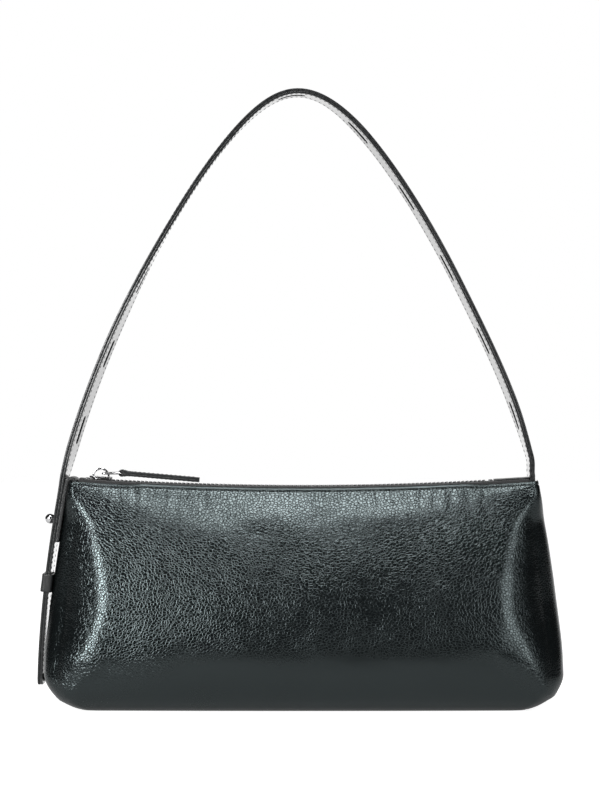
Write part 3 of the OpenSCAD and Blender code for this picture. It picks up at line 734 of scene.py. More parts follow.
def woven(name, rgb, pitch, rough=0.75, depth=0.00012):
    """Plain weave that follows the piece's own map, whose units are metres."""
    n = surface(name)
    warp, weft = [n.math("SINE", n.math("MULTIPLY", part, math.pi / pitch))
                  for part in n.parts(n.coords["UV"])[:2]]
    height = n.math("ADD", n.math("MULTIPLY", n.math("MULTIPLY", warp, weft), 0.5), 0.5)
    fuzz = n.noise(n.place, 2400.0, 3.0)
    # The low parts of the weave are coloured darker, painted shade between the threads, with random
    # fuzz over it.
    tone = n.tone(n.math("MULTIPLY", height, fuzz), rgb, 0.55, 1.7)
    normal = n.bump(n.math("ADD", height, n.math("MULTIPLY", fuzz, 0.4)), depth)
    return n.set(Base_Color=tone, Roughness=n.ramp(fuzz, 0.2, 0.8, rough - 0.08, rough + 0.1),
                 Normal=normal, Sheen_Weight=0.25, Sheen_Roughness=0.5)


def thread(name, rgb):
    """Twisted thread."""
    n = surface(name)
    twist = n.noise(n.place, 4200.0, 1.0)
    return n.set(Base_Color=n.tone(twist, rgb, 0.6, 2.0),
                 Roughness=n.ramp(twist, 0.3, 0.7, 0.42, 0.6),
                 Normal=n.bump(twist, 0.00006), Sheen_Weight=0.2)


def plated(name, rgb, share, rough):
    """Plated metal in a share of its full brightness, faintly marked and clouded. On the teeth and
    the slider's body the lower share is painted shade.
    """
    n = surface(name)
    rgb = [c * share for c in rgb]
    marks = n.noise(n.scaled(n.place, (1.0, 8.0, 8.0)), 900.0, 3.0)
    cloud = n.noise(n.place, 220.0)
    return n.set(Base_Color=n.tone(n.ramp(cloud, 0.3, 0.7), rgb, 0.86, 1.08), Metallic=1.0,
                 Normal=n.bump(marks, 0.000012),
                 Roughness=n.ramp(cloud, 0.3, 0.7, rough, rough + 0.1))


def pressed_board(name, rgb):
    """Board of pressed fibres."""
    n = surface(name)
    fibres = n.noise(n.scaled(n.place, (1.0, 4.0, 4.0)), 500.0, 4.0, 0.7)
    return n.set(Base_Color=n.tone(fibres, rgb, 0.7, 1.2), Roughness=0.85,
                 Normal=n.bump(fibres, 0.0002))


def finish(name):
    """The material of that name, made the first time that a piece asks for it."""
    known = bpy.data.materials.get(name)
    if known:
        return known
    look = bpy.context.scene.bag_finishes
    makers = {
        "body leather": lambda: pebbled_leather(name, look.body, look.grain, look.gloss),
        "strap leather": lambda: smooth_leather(name, look.strap, 0.36),
        "strap backing": lambda: smooth_leather(name, look.strap, 0.14, 0.00002, 1.0),
        "trim leather": lambda: smooth_leather(name, look.strap, 0.4),
        "edge paint": lambda: painted_edge(name, look.edge),
        "thread": lambda: thread(name, look.thread),
        "zip tape": lambda: woven(name, look.tape, 0.0005),
        "lining cloth": lambda: woven(name, look.cloth, 0.0006, 0.8),
        # Teeth and stops: the polished metal dimmed, as painted shade and painted dark reflections.
        "tooth metal": lambda: plated(name, look.metal, 0.18, 0.25),
        "polished metal": lambda: plated(name, look.metal, 1.0, 0.07),
        # The slider's body: the polished metal dimmed as painted shade.
        "slider metal": lambda: plated(name, look.metal, 0.35, 0.18),
        "dark metal": lambda: plated(name, look.metal, 0.12, 0.25),
        "fibre board": lambda: pressed_board(name, (0.30, 0.27, 0.23)),
    }
    return makers[name]()


def coat(node, look):
    """Gives a node of the frame a finish."""
    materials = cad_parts[node].data.materials
    materials.clear()
    materials.append(finish(look))


# Share of the way round at which a panel ends, just before the seam with the other.
SEAM = 0.9985


def row_step(below, body_h):
    """Height of a panel's row at a distance below the lip."""
    if below < 0.0024:
        return 0.0002
    if below < 0.006:
        return 0.0005
    return 0.0006 if below > body_h - 0.004 else 0.0014


def row_heights(shape):
    """Heights of the rows of a panel, close together at the base and at the lip."""
    depths, below = [], 0.0
    while below < shape.body_h:
        depths.append(below)
        below += row_step(below, shape.body_h)
    if shape.body_h - depths[-1] < 0.0003:
        depths.pop()
    return [shape.body_h - depth for depth in [shape.body_h] + depths[::-1]]


def soft_relief(shape, x, z, t, seed):
    """Slow forms that the leather and the lining share: waves, folds and the end seams."""
    below = shape.body_h - z
    wave = noise.noise(Vector((x * 16, seed + 3.1, z * 22)))
    wave += 0.5 * noise.noise(Vector((x * 38, seed + 9.7, z * 44)))
    # Each form fades out over a few millimetres at the base, at the lip and at the seams.
    height = shape.softness * wave * ease(0.0, 0.03, z) * ease(0.0, 0.02, below)
    seam = ease(0.0, 0.008, shape.half_w(z) - abs(x))
    ends = ease(0.002, 0.02, z) * (1 - 0.45 * ease(0.085, 0.125, z)) * ease(0.0, 0.014, below)
    crest = ease(0.002, 0.012, z) * (1 - 0.7 * ease(0.03, 0.06, z))
    width, round_off = 0.0034 + 0.0062 * ease(0.008, 0.045, z), 0.002
    for line, fold, facet in ((LEFT_FOLD, shape.left_fold, shape.facet),
                              (RIGHT_FOLD, shape.right_fold, shape.facet * 0.7)):
        off = beside_line(line, x, z)
        height += crest * fold * math.exp(-(off / width) ** 2)
        # Across the facet the leather falls away ever faster, behind the fold at a slope.
        share = max(0.0, off / shape.facet_w + 1.0)
        drop = facet * (share ** 2 if share < 1 else 2 * share - 1)
        drop += shape.flank * (math.hypot(max(0.0, off - round_off), round_off) - round_off)
        height -= ends * drop * seam
    return height - 0.0007 * math.exp(-((1 - abs(t)) / 0.012) ** 2) * ease(0.0, 0.01, z)


def fine_relief(shape, x, z, seed):
    """The lip, its sewn groove and the small gathers under it."""
    below, radius = shape.body_h - z, 0.0003
    edge = max(0.0, radius - below)
    lip = -radius * (1 - math.sqrt(1 - (edge / radius) ** 2))
    seam = shape.lip_seam + 0.00012 * math.sin(x * math.tau / 0.0025) \
        + 0.00012 * noise.noise(Vector((x * 210, seed, 4.0)))
    groove = -shape.lip_groove * math.exp(-((below - seam) / 0.00025) ** 2)
    # The gathers are highest just under the seam and fade downwards.
    fade = math.exp(-max(0.0, below - 0.002) / 0.008) * ease(0.0018, 0.0034, below)
    lean = x + 0.0012 * noise.noise(Vector((x * 40, seed + 2, below * 90)))
    gather = 0.5 * noise.noise(Vector((lean * 230, seed, below * 24)))
    gather += noise.noise(Vector((lean * 480, seed + 7, below * 45)))
    return (lip + groove) * ease(0.0, 0.0001, 0.003 - below) + shape.pucker * fade * gather


def calmness(shape, x, z):
    """How smooth the leather is drawn at a spot: low on the bag, at its ends and at the lip."""
    border = 0.031 + 0.003 * noise.noise(Vector((x * 60, 0.5, 2.0)))
    border -= 0.022 * (ease(0.05, 0.11, -x) + ease(0.095, 0.14, x))
    low = 0.82 * (1 - ease(border - 0.004, border + 0.008, z))
    lip = shape.body_h - shape.sag(x / (shape.top_w / 2), shape.body_h) - 0.0012
    end = 0.6 * (1 - ease(0.001, 0.006, shape.half_w(max(0.0, z)) - abs(x)))
    off = beside_line(LEFT_FOLD, x, z) - 0.008
    ridge = 0.8 * math.exp(-(off / 0.013) ** 2)
    return max(low, end, 0.9 * ease(lip, lip + 0.0008, z)) - ridge


class BAG_OT_panels(bpy.types.Operator):
    """Front and back leather panels, joined by turned seams down the ends"""
    bl_idname = "bag.panels"
    bl_label = "Leather panels"

    def execute(self, context):
        shape = bag_shape()
        heights = row_heights(shape)
        rows = len(heights) - 1
        for name, back in (("front_panel_leather", False), ("back_panel_leather", True)):
            spots = {}

            def place(u, v, back=back, spots=spots):
                t, z = min(SEAM, max(-SEAM, 2 * u - 1)), heights[round(v * rows)]
                point = shape.wall(t, z, back=back)
                spots[(round(point.x, 6), round(point.z, 6))] = (z, t)
                return point

            bm = grid(400, rows, place, (0.36, 0.15))
            if back:
                bmesh.ops.reverse_faces(bm, faces=bm.faces[:])
                bm.normal_update()
            seed = 5.0 if back else 1.0
            for vert in bm.verts:
                z, t = spots[(round(vert.co.x, 6), round(vert.co.z, 6))]
                relief = (soft_relief(shape, vert.co.x, z, t, seed)
                          + fine_relief(shape, vert.co.x, z, seed))
                turned_up = ease(shape.body_h - 0.008, shape.body_h, z) \
                    * (1 - ease(0.092, 0.104, abs(vert.co.x)))
                vert.co += vert.normal * relief + Vector((0, 0, shape.lip_rise * turned_up))
            layer = bm.verts.layers.float.new("calm")
            for vert in bm.verts:
                vert[layer] = calmness(shape, vert.co.x, vert.co.z)
            node = "back_panel" if back else "front_panel"
            made = piece(bm, name, finish("body leather"), "bag", "body_leather", (node,))
            thicken(made, shape.leather_t * 0.9, -1.0)
        return {"FINISHED"}


class BAG_OT_base(bpy.types.Operator):
    """Sole of the bag, turned in between the panels, with its stiffener board"""
    bl_idname = "bag.base"
    bl_label = "Base"

    def execute(self, context):
        shape = bag_shape()
        bm = new_mesh()
        bmesh.ops.create_circle(bm, cap_ends=True, segments=120, radius=1.0)
        for vert in bm.verts:
            share = (math.atan2(vert.co.y, vert.co.x) / math.tau) % 1.0
            t = 4 * share - 1 if share < 0.5 else 4 * (1 - share) - 1
            vert.co = shape.wall(max(-1.0, min(1.0, -t)), 0.0, shape.leather_t + CLOSE,
                                 back=share < 0.5)
        for width in (0.0012, 0.003, 0.006):
            middle = [face for face in bm.faces if len(face.verts) > 8]
            bmesh.ops.inset_region(bm, faces=middle, thickness=width, depth=0.0)
        push_out(bm, (0, 0, shape.leather_t))
        face_outwards(bm)
        round_edges(bm, 0.0005, 2)
        piece(bm, "base_leather", finish("body leather"), "bag", "body_leather", ("base_panel",))
        coat("base_board", "fibre board")
        return {"FINISHED"}


class BAG_OT_lining(bpy.types.Operator):
    """Lining cup and the slip pocket on its back wall"""
    bl_idname = "bag.lining"
    bl_label = "Lining and pocket"

    def execute(self, context):
        shape = bag_shape()
        inset = shape.leather_t + 0.0004
        low, high = shape.leather_t + 0.0017, shape.body_h - 0.008

        def cup(u, v):
            t = 4 * u - 1 if u < 0.5 else 3 - 4 * u
            return shape.wall(t, low + (high - low) * v, inset, back=u >= 0.5)

        bm = grid(180, 60, cup, (0.72, 0.15))
        for vert in bm.verts:
            seed = 5.0 if vert.co.y > 0 else 1.0
            height = soft_relief(shape, vert.co.x, vert.co.z, 0.0, seed)
            vert.co += vert.normal * min(0.0, height)
        weld(bm)
        rim = [e for e in bm.edges if e.is_boundary
               and all(v.co.z < low + 0.002 for v in e.verts)]
        bmesh.ops.holes_fill(bm, edges=rim, sides=0)
        face_outwards(bm)
        thicken(piece(bm, "lining_cloth_cup", finish("lining cloth"), "bag", "lining_cloth",
                      ("lining",)), 0.0007, -1.0)
        wide, deep, start = 0.130, 0.062, shape.body_h * 0.32
        near = inset + 0.0009

        def pocket(u, v):
            z = start + deep * v
            x = wide * (u - 0.5)
            a, b = shape.half_w(z) - near, shape.half_d(z) - near
            slack = 0.0006 * ease(0.6, 1.0, v) * math.sin(math.pi * u)
            y = b * (1 - shape.BOW * (x / a) ** 2) - slack
            return Vector((x, y, z - shape.sag(x / a, z)))

        bm = grid(52, 26, pocket, (wide, deep))
        thicken(piece(bm, "slip_pocket_cloth", finish("lining cloth"), "bag", "lining_cloth",
                      ("slip_pocket",)), 0.0006, 1.0)
        return {"FINISHED"}


class BAG_OT_zip_tapes(bpy.types.Operator):
    """Woven tapes of the zip, turned down behind the lips"""
    bl_idname = "bag.zip_tapes"
    bl_label = "Zip tapes"

    def execute(self, context):
        shape, zips = bag_shape(), context.scene.bag_zip
        end = shape.top_w / 2 - 0.0048

        def inside(depth):
            """Half the room between the panels at a depth below the lips."""
            room = shape.half_d(shape.body_h - depth) - shape.leather_t
            return room * (1 - shape.BOW) - 0.0002

        lip, chain = inside(0.0), zips.chain_w / 2
        profile = [(across, 0.0) for across in (chain + CLOSE, chain + 0.0009, 0.0042, 0.0052,
                                                0.0060, lip - 0.0003)]
        profile.append((lip - 0.00005, -0.0004))
        profile += [(inside(depth), -zips.chain_rise * 0.4 - depth)
                    for depth in (0.0012, 0.0024, 0.0040, 0.0056, 0.0068)]
        for name, side in (("zip_tape_front_weave", -1), ("zip_tape_back_weave", 1)):
            def place(u, v, side=side):
                a, up = profile[round(v * (len(profile) - 1))]
                return shape.arc_point((2 * u - 1) * end, side * a, up)

            bm = grid(130, len(profile) - 1, place, (2 * end, 0.012))
            if side < 0:
                bmesh.ops.reverse_faces(bm, faces=bm.faces[:])
            node = "zip_tape_front" if side < 0 else "zip_tape_back"
            thicken(piece(bm, name, finish("zip tape"), "bag", "zip_tape", (node,)),
                    zips.tape_t * 0.8)
        return {"FINISHED"}


class BAG_OT_zip_teeth(bpy.types.Operator):
    """Rows of metal teeth with their stops"""
    bl_idname = "bag.zip_teeth"
    bl_label = "Zip teeth and stops"

    def tooth(self, zips):
        """One tooth: a foot that grips the tape and a narrower head that meshes."""
        wide, half = zips.tooth_pitch * 0.44, zips.tooth_t / 2
        upper = [(zips.chain_w / 2, 0.96), (0.0004, 0.58), (-0.0007, 0.42)]
        outline = [(y, -up) for y, up in upper[:1]] + upper + [(y, -up) for y, up in upper[:0:-1]]
        bm = solid_from([(-wide / 2, y, half * up) for y, up in outline], (wide, 0, 0))
        round_edges(bm, 0.0002, 1, 30.0)
        return bm

    def row(self, shape, zips, side, shift):
        """All teeth of one tape, along the arc of the zip."""
        bm = self.tooth(zips)
        single = bm.verts[:] + bm.edges[:] + bm.faces[:]
        start = zips.slider_x + zips.slider_l / 4 + shift
        count = int((zips.chain_end - start) / zips.tooth_pitch) + 1
        flip = Matrix.Diagonal((1, side, 1, 1))
        for i in range(count):
            copy = bmesh.ops.duplicate(bm, geom=single)
            bmesh.ops.transform(bm, verts=only_verts(copy["geom"]), space=Matrix.Identity(4),
                                matrix=shape.arc_frame(start + i * zips.tooth_pitch) @ flip)
        bmesh.ops.delete(bm, geom=only_verts(single), context="VERTS")
        face_outwards(bm)
        return bm

    def stop(self, shape, zips, start, across, wide):
        """A stop clamped over the tape from a place along the zip, beside its middle line."""
        long = 0.0022
        bm = brick((long, wide, zips.tooth_t), min(zips.tooth_t, long) * 0.2)
        bm.transform(shape.arc_frame(start + long / 2, across))
        return bm

    def execute(self, context):
        shape, zips = bag_shape(), context.scene.bag_zip
        # The teeth and stops take the metal dimmed as painted shade.
        metal = finish("tooth metal")
        for side, shift, name, node in (
                (-1, 0.0, "zip_teeth_front_metal", "zip_teeth_front"),
                (1, zips.tooth_pitch / 2, "zip_teeth_back_metal", "zip_teeth_back")):
            piece(self.row(shape, zips, side, shift), name, metal, "bag", "zip_metal", (node,),
                  smooth=35.0)
        first = zips.slider_x - zips.slider_l / 2 - 0.0023
        stops = self.stop(shape, zips, first, -0.0017, 0.0016)
        absorb(stops, self.stop(shape, zips, first, 0.0017, 0.0016))
        piece(stops, "zip_top_stops_metal", metal, "bag", "zip_metal", ("zip_top_stops",))
        piece(self.stop(shape, zips, zips.chain_end + 0.0012, 0.0, 0.005),
              "zip_bottom_stop_metal", metal, "bag", "zip_metal", ("zip_bottom_stop",))
        return {"FINISHED"}


class BAG_OT_zip_ends(bpy.types.Operator):
    """Leather tabs folded over the ends of the zip"""
    bl_idname = "bag.zip_ends"
    bl_label = "Zip end tabs"

    def execute(self, context):
        shape = bag_shape()
        for side, node, rise in (("left", "zip_end_tab_left", 0.0005),
                                 ("right", "zip_end_tab_right", 0.0009)):
            low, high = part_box(node)
            half = (high.y - low.y) / 2

            def place(u, v, w, low=low, high=high, half=half, rise=rise):
                s = low.x + (high.x - low.x) * u
                crown = 1 - 0.35 * abs(2 * v - 1) ** 2.6
                crown += 0.16 * noise.noise(Vector((s * 240, v * 3, 2.0)))
                return shape.arc_point(s, (2 * v - 1) * half, 0.0004 + rise * crown * w)

            bm = slab(24, 16, place)
            round_edges(bm, 0.0002, 2, 45.0)
            piece(bm, f"zip_end_{side}_leather", finish("trim leather"), "bag", "trim_leather",
                  (node,))
        return {"FINISHED"}


class BAG_OT_slider(bpy.types.Operator):
    """Slider of the zip: two plates, their rims, the post and the bridge"""
    bl_idname = "bag.slider"
    bl_label = "Zip slider"

    def execute(self, context):
        shape, zips = bag_shape(), context.scene.bag_zip
        length, width, plate = zips.slider_l, zips.slider_w, zips.plate_t
        # Half of the outline of a plate, from the end with the wedge to the other.
        half = [(-length / 2, width * 0.20), (-length * 0.46, width * 0.34),
                (-length * 0.37, width * 0.47), (-length * 0.20, width * 0.5),
                (length * 0.12, width * 0.49), (length * 0.34, width * 0.43),
                (length / 2, width * 0.36)]
        whole = new_mesh()
        channel = zips.tooth_t / 2 + RUNNING
        rim, gap = 0.0009, 0.00045
        for low in (channel, -channel - plate):
            outline = [(x, -y, low) for x, y in half] + [(x, y, low) for x, y in reversed(half)]
            bm = solid_from(outline, (0, 0, plate))
            round_edges(bm, plate * 0.36, 3, 50.0)
            absorb(whole, bm)
            near = gap if low > 0 else -channel - CLOSE
            for side in (-1, 1):
                bm = brick((length * 0.74, rim, channel + CLOSE - gap), 0.00022)
                bmesh.ops.translate(bm, verts=bm.verts, vec=(
                    length * 0.12, side * (width * 0.41 - rim / 2) * 0.95,
                    near + (channel + CLOSE - gap) / 2))
                absorb(whole, bm)
        wedge = ((0.0001, 0), (0.002, -0.00065), (0.004, 0), (0.002, 0.00065))
        absorb(whole, solid_from([(x - length / 2, y, -channel) for x, y in wedge],
                                 (0, 0, 2 * channel)))
        outer, thick, wide = zips.bridge_r, 0.0012, 0.0022
        bm = new_mesh()
        ends = [bm.verts.new((-outer + dx, dy, 0)) for dx, dy in
                ((0, -wide / 2), (0, wide / 2), (thick, wide / 2), (thick, -wide / 2))]
        face = bm.faces.new(ends)
        bmesh.ops.spin(bm, geom=[face], cent=(0, 0, 0), axis=(0, 1, 0), angle=math.pi, steps=24)
        face_outwards(bm)
        sharp = [e for e in bm.edges if len(e.link_faces) == 2
                 and e.calc_face_angle(0.0) > math.radians(60)]
        bmesh.ops.bevel(bm, geom=sharp, offset=thick * 0.3, offset_type="OFFSET",
                        affect="EDGES", segments=3, profile=0.5, material=-1)
        bmesh.ops.translate(bm, vec=(0, 0, channel + plate - 0.0002), verts=bm.verts)
        absorb(whole, bm)
        made = piece(whole, "slider_metal", finish("slider metal"), "zip_slider",
                     "polished_metal", ("slider_body",), smooth=50.0,
                     moved=shape.arc_frame(zips.slider_x))
        # Only the faces on top of the slider take the full polished metal; the rest keeps the dimmed
        # copy, painted shade.
        made.data.materials.append(finish("polished metal"))
        level = shape.arc_frame(zips.slider_x).inverted()
        for face in made.data.polygons:
            if (level @ face.center).z > channel + plate * 0.98:
                face.material_index = 1
        return {"FINISHED"}


def pull_frames(shape, zips):
    """Places of the ring's bar in the bridge, of the ring and of the pull."""
    up = zips.tooth_t / 2 + RUNNING + zips.plate_t + 0.0017
    level = Matrix.Rotation(zips.slider_x / shape.arc_r, 4, "Y")
    pivot = (shape.arc_frame(zips.slider_x) @ Matrix.Translation((0.0012, 0, up))
             @ level @ Matrix.Rotation(math.radians(-1), 4, "Y"))
    head = (pivot @ Matrix.Translation((zips.ring_l, 0, 0))
            @ Matrix.Rotation(math.radians(6), 4, "Y"))
    return pivot, head


class BAG_OT_pull(bpy.types.Operator):
    """Wire ring and the folded leather pull that hangs from it"""
    bl_idname = "bag.pull"
    bl_label = "Ring and pull"

    def execute(self, context):
        shape, zips = bag_shape(), context.scene.bag_zip
        pivot, head = pull_frames(shape, zips)
        half_l, half_w = zips.ring_l / 2, zips.pull_w / 2 + 0.0006 + zips.wire_d / 2
        bm = wire_ring([(x + half_l, y, 0) for x, y in rounded_frame(half_l, half_w, 0.0012, 6)],
                       zips.wire_d / 2)
        piece(bm, "pull_ring_wire", finish("polished metal"), "zip_ring", "polished_metal",
              ("pull_ring",), moved=pivot)

        # Half of the pull from its end to the bend round the ring: outside and inside.
        half_t, eye, crown = zips.pull_t / 2, zips.wire_d / 2 + RUNNING, 0.0021
        steps, bend, neck = 22, 20, 0.0058
        outline = [(zips.pull_l * (1 - i / steps) + neck * i / steps, half_t)
                   for i in range(steps)]
        outline += [(neck, half_t), (0.0046, half_t * 1.12), (0.0034, half_t * 1.1),
                    (0.0026, half_t * 1.22), (0.0016, half_t * 1.42)]
        inline = [(x, 0.00002) for x, z in outline[:-1]] + [(eye * 1.1, 0.00002)]
        for i in range(bend + 1):
            a = math.radians(60 + 120 * i / bend)
            outline.append((crown * math.cos(a), crown * math.sin(a)))
            a = math.radians(8 + 172 * i / bend)
            inline.append((eye * math.cos(a), eye * math.sin(a)))
        outline += [(x, -z) for x, z in outline[-2::-1]]
        inline += [(x, -z) for x, z in inline[-2::-1]]
        count = len(outline) - 1

        def place(u, v, w):
            (x0, z0), (x1, z1) = inline[round(u * count)], outline[round(u * count)]
            taper = 1 - 0.05 * ease(0.0, zips.pull_l, x1)
            return Vector((x0 + (x1 - x0) * w, (v - 0.5) * zips.pull_w * taper,
                           z0 + (z1 - z0) * w))

        bm = slab(count, 8, place)
        round_edges(bm, 0.00022, 2, 55.0)
        made = piece(bm, "leather_pull_strip", finish("strap leather"), "zip_pull",
                     "trim_leather", ("leather_pull",), moved=head)
        made.data.materials.append(finish("edge paint"))
        side = (zips.pull_w / 2) * 0.93
        for face in made.data.polygons:
            if abs((head.inverted() @ face.center).y) > side and abs(face.normal.y) > 0.5:
                face.material_index = 1
        lift, edge = half_t + CLOSE, zips.pull_w / 2 - 0.0011
        places = [(Vector((0.0060, y, z)), ACROSS, UP)
                  for y in (-0.0016, 0.0, 0.0016) for z in (lift, -lift)]
        places += [(Vector((0.0075 + 0.0026 * i, y, z)), ALONG, UP)
                   for i in range(14) for y in (-edge, edge) for z in (half_t, -half_t)]
        sew("pull_stitching", places, 0.0015, 0.0004, "zip_pull", "trim_leather", moved=head)
        return {"FINISHED"}


def strap_columns(width, slot_w):
    """Places across the strap that give a slot its two sides."""
    half, slot = width / 2, slot_w / 2
    side = [half, half - 0.0004, half - 0.0016, half - 0.0034, slot + 0.0014, slot,
            slot * 0.924, slot * 0.707, slot * 0.383]
    return [-y for y in side] + [0.0] + side[::-1]


def strap_rows(start, end, slots, slot_l, slot_w, step=0.0022):
    """Places along the strap, with rows at the ends of each slot."""
    marks = [start, end]
    for middle in slots:
        straight, tip = slot_l / 2 - slot_w / 2, slot_l / 2
        marks += [middle - tip, middle - straight, middle + straight, middle + tip]
        marks += [middle - tip - 0.0008, middle + tip + 0.0008]
    marks = sorted(m for m in marks if start <= m <= end)
    rows = []
    for a, b in zip(marks, marks[1:]):
        n = max(1, math.ceil((b - a) / step))
        if b - a < slot_w * 0.6 and any(abs((a + b) / 2 - m) < slot_l / 2 for m in slots):
            n = 1
        rows += [a + (b - a) * i / n for i in range(n)]
    return rows + [marks[-1]]


def strap_layer(line, sizes, start, end, low, high, round_end=0.0):
    """A flat layer of strap with its slots cut, given its thickness, then bent to the line."""
    first = line.along_at(sizes.stud_z) - sizes.neck_d / 2 - CLOSE + sizes.slot_l / 2
    slots = [first + i * sizes.slot_pitch for i in range(sizes.slot_count + 1)]
    slots = [m for m in slots if start < m < end]
    ys = strap_columns(sizes.width, sizes.slot_w)
    xs = strap_rows(start, end, slots, sizes.slot_l, sizes.slot_w)
    tip, straight = sizes.slot_l / 2, sizes.slot_l / 2 - sizes.slot_w / 2
    slot = sizes.slot_w / 2

    def flat(u, v):
        return Vector((xs[round(u * (len(xs) - 1))], ys[round(v * (len(ys) - 1))], high))

    bm = grid(len(xs) - 1, len(ys) - 1, flat)
    uv = bm.loops.layers.uv.active
    for face in bm.faces:
        for loop in face.loops:
            loop[uv].uv = (loop.vert.co.x, loop.vert.co.y)
    holes = []
    for face in bm.faces:
        c = face.calc_center_median()
        if abs(c.y) < slot and any(abs(c.x - m) < tip - 1e-6 for m in slots):
            holes.append(face)
    bmesh.ops.delete(bm, geom=holes, context="FACES")
    for vert in bm.verts:
        for m in slots:
            off = vert.co.x - m
            if abs(abs(off) - tip) < 1e-6 and abs(vert.co.y) <= slot + 1e-7:
                reach = straight + math.sqrt(max(0.0, slot ** 2 - vert.co.y ** 2))
                vert.co.x = m + math.copysign(reach, off)
    weld(bm, 2e-6)
    if round_end:
        half = sizes.width / 2
        for vert in bm.verts:
            inner = abs(vert.co.y) - (half - round_end)
            if inner > 0 and vert.co.x < start + round_end:
                edge = start + round_end - math.sqrt(max(0.0, round_end ** 2 - inner ** 2))
                share = (vert.co.x - start) / round_end
                vert.co.x = edge + (start + round_end - edge) * share
    push_out(bm, (0, 0, low - high))
    face_outwards(bm)
    round_edges(bm, 0.00022, 2, 60.0)
    for vert in bm.verts:
        vert.co = line.place(vert.co.x, vert.co.y, vert.co.z)
    bm.normal_update()
    return bm


def paint_edges(made, sizes):
    """Gives the narrow faces along the cut edges of a layer the edge paint."""
    made.data.materials.append(finish("edge paint"))
    uv = made.data.uv_layers.active.data
    half = sizes.width / 2 - 0.00005
    for face in made.data.polygons:
        if all(abs(uv[i].uv[1]) > half for i in face.loop_indices):
            face.material_index = 1


def two_layers(line, sizes, prefix, start, end, nodes, bends, round_end=0.0):
    """The outer and the inner layer of a length of strap, with their painted edges."""
    gap = 0.00003
    for side, low, high, look, stands_for in (
            ("outer", gap, sizes.layer_t, "strap leather", nodes[0]),
            ("inner", -sizes.layer_t, -gap, "strap backing", nodes[1])):
        bm = strap_layer(line, sizes, start, end, low, high, round_end)
        paint_edges(piece(bm, f"{prefix}_{side}_layer", finish(look), "bag", "strap_leather",
                          stands_for, bends=bends), sizes)


def sew_both_sides(line, sizes, s, across, lean):
    """Two stitches at a spot of the strap, one on each side of it."""
    along, side, out = line.axes(s)
    lift = sizes.layer_t - sizes.thread_d * 0.15
    return [(line.place(s, across, face * lift), lean(along, side, face), out * face)
            for face in (-1, 1)]


def sewn_rows(line, sizes, start, end):
    """Stitches along both edges of the strap."""
    places, s = [], start
    inset = sizes.width / 2 - sizes.stitch_inset
    while s < end:
        for y in (-inset, inset):
            places += sew_both_sides(line, sizes, s, y, lambda along, side, face:
                                     (along + side * 0.12 * face).normalized())
        s += sizes.stitch_pitch
    return places


class BAG_OT_strap(bpy.types.Operator):
    """Two-layer strap from the keeper over the arch to its sewn-in end"""
    bl_idname = "bag.strap"
    bl_label = "Strap"

    def execute(self, context):
        sizes, line = context.scene.bag_strap, strap_line()
        hinge = bag_shape().body_h + CLOSE + sizes.tab_t + LOOSE + sizes.width / 2
        bends = ("bag", "strap_arch", (0, 0, hinge - 0.010), (0, 0, hinge + 0.016))
        start = line.along_at(sizes.keeper_z - 0.002)
        two_layers(line, sizes, "strap", start, line.length - 0.0002,
                   (("strap_arch_face", "strap_side_face", "strap_anchor_face"),
                    ("strap_arch_backing", "strap_side_backing", "strap_anchor_backing")), bends)
        places = sewn_rows(line, sizes, start + 0.002, line.length - 0.0075)
        sew("strap_stitching", places, sizes.stitch_pitch * 0.66, sizes.thread_d, "bag",
            "strap_leather", bends=bends)
        return {"FINISHED"}


class BAG_OT_tail(bpy.types.Operator):
    """Free tail of the strap below the keeper, with its rounded end and stop peg"""
    bl_idname = "bag.tail"
    bl_label = "Strap tail"

    def execute(self, context):
        sizes, line = context.scene.bag_strap, strap_line()
        hinge = sizes.keeper_z - sizes.keeper_l / 2 - LOOSE - sizes.layer_t
        bends = ("bag", "strap_tail", (0, 0, hinge + 0.004), (0, 0, hinge - 0.014))
        end = line.along_at(sizes.keeper_z - 0.0022)
        two_layers(line, sizes, "tail", 0.0, end, (("strap_tail_face",), ("strap_tail_backing",)),
                   bends, round_end=0.004)
        places = sewn_rows(line, sizes, 0.0055, end)
        inset = sizes.width / 2 - sizes.stitch_inset
        for i in range(-3, 4):
            places += sew_both_sides(line, sizes, 0.0022, inset * i / 4,
                                     lambda along, side, face: side)
        sew("tail_stitching", places, sizes.stitch_pitch * 0.66, sizes.thread_d, "bag",
            "strap_leather", bends=bends)
        s = line.along_at(sizes.tail_end_z + 0.004)
        along, across, out = line.axes(s)
        turn = Matrix((across, along, -out)).transposed().to_4x4()
        t = sizes.layer_t
        profile = [(0, t + 0.0014), (0.0012, t + 0.0013), (0.0021, t + 0.0008),
                   (0.0025, t + 0.0002), (0.0024, t + 0.00006), (0.001, t + 0.00006),
                   (0.001, -t), (0, -t)]
        piece(turned(profile, 28), "tail_peg_metal", finish("dark metal"), "strap_tail",
              "dark_metal", ("tail_stop_peg",),
              moved=Matrix.Translation(line.point(s)) @ turn)
        return {"FINISHED"}


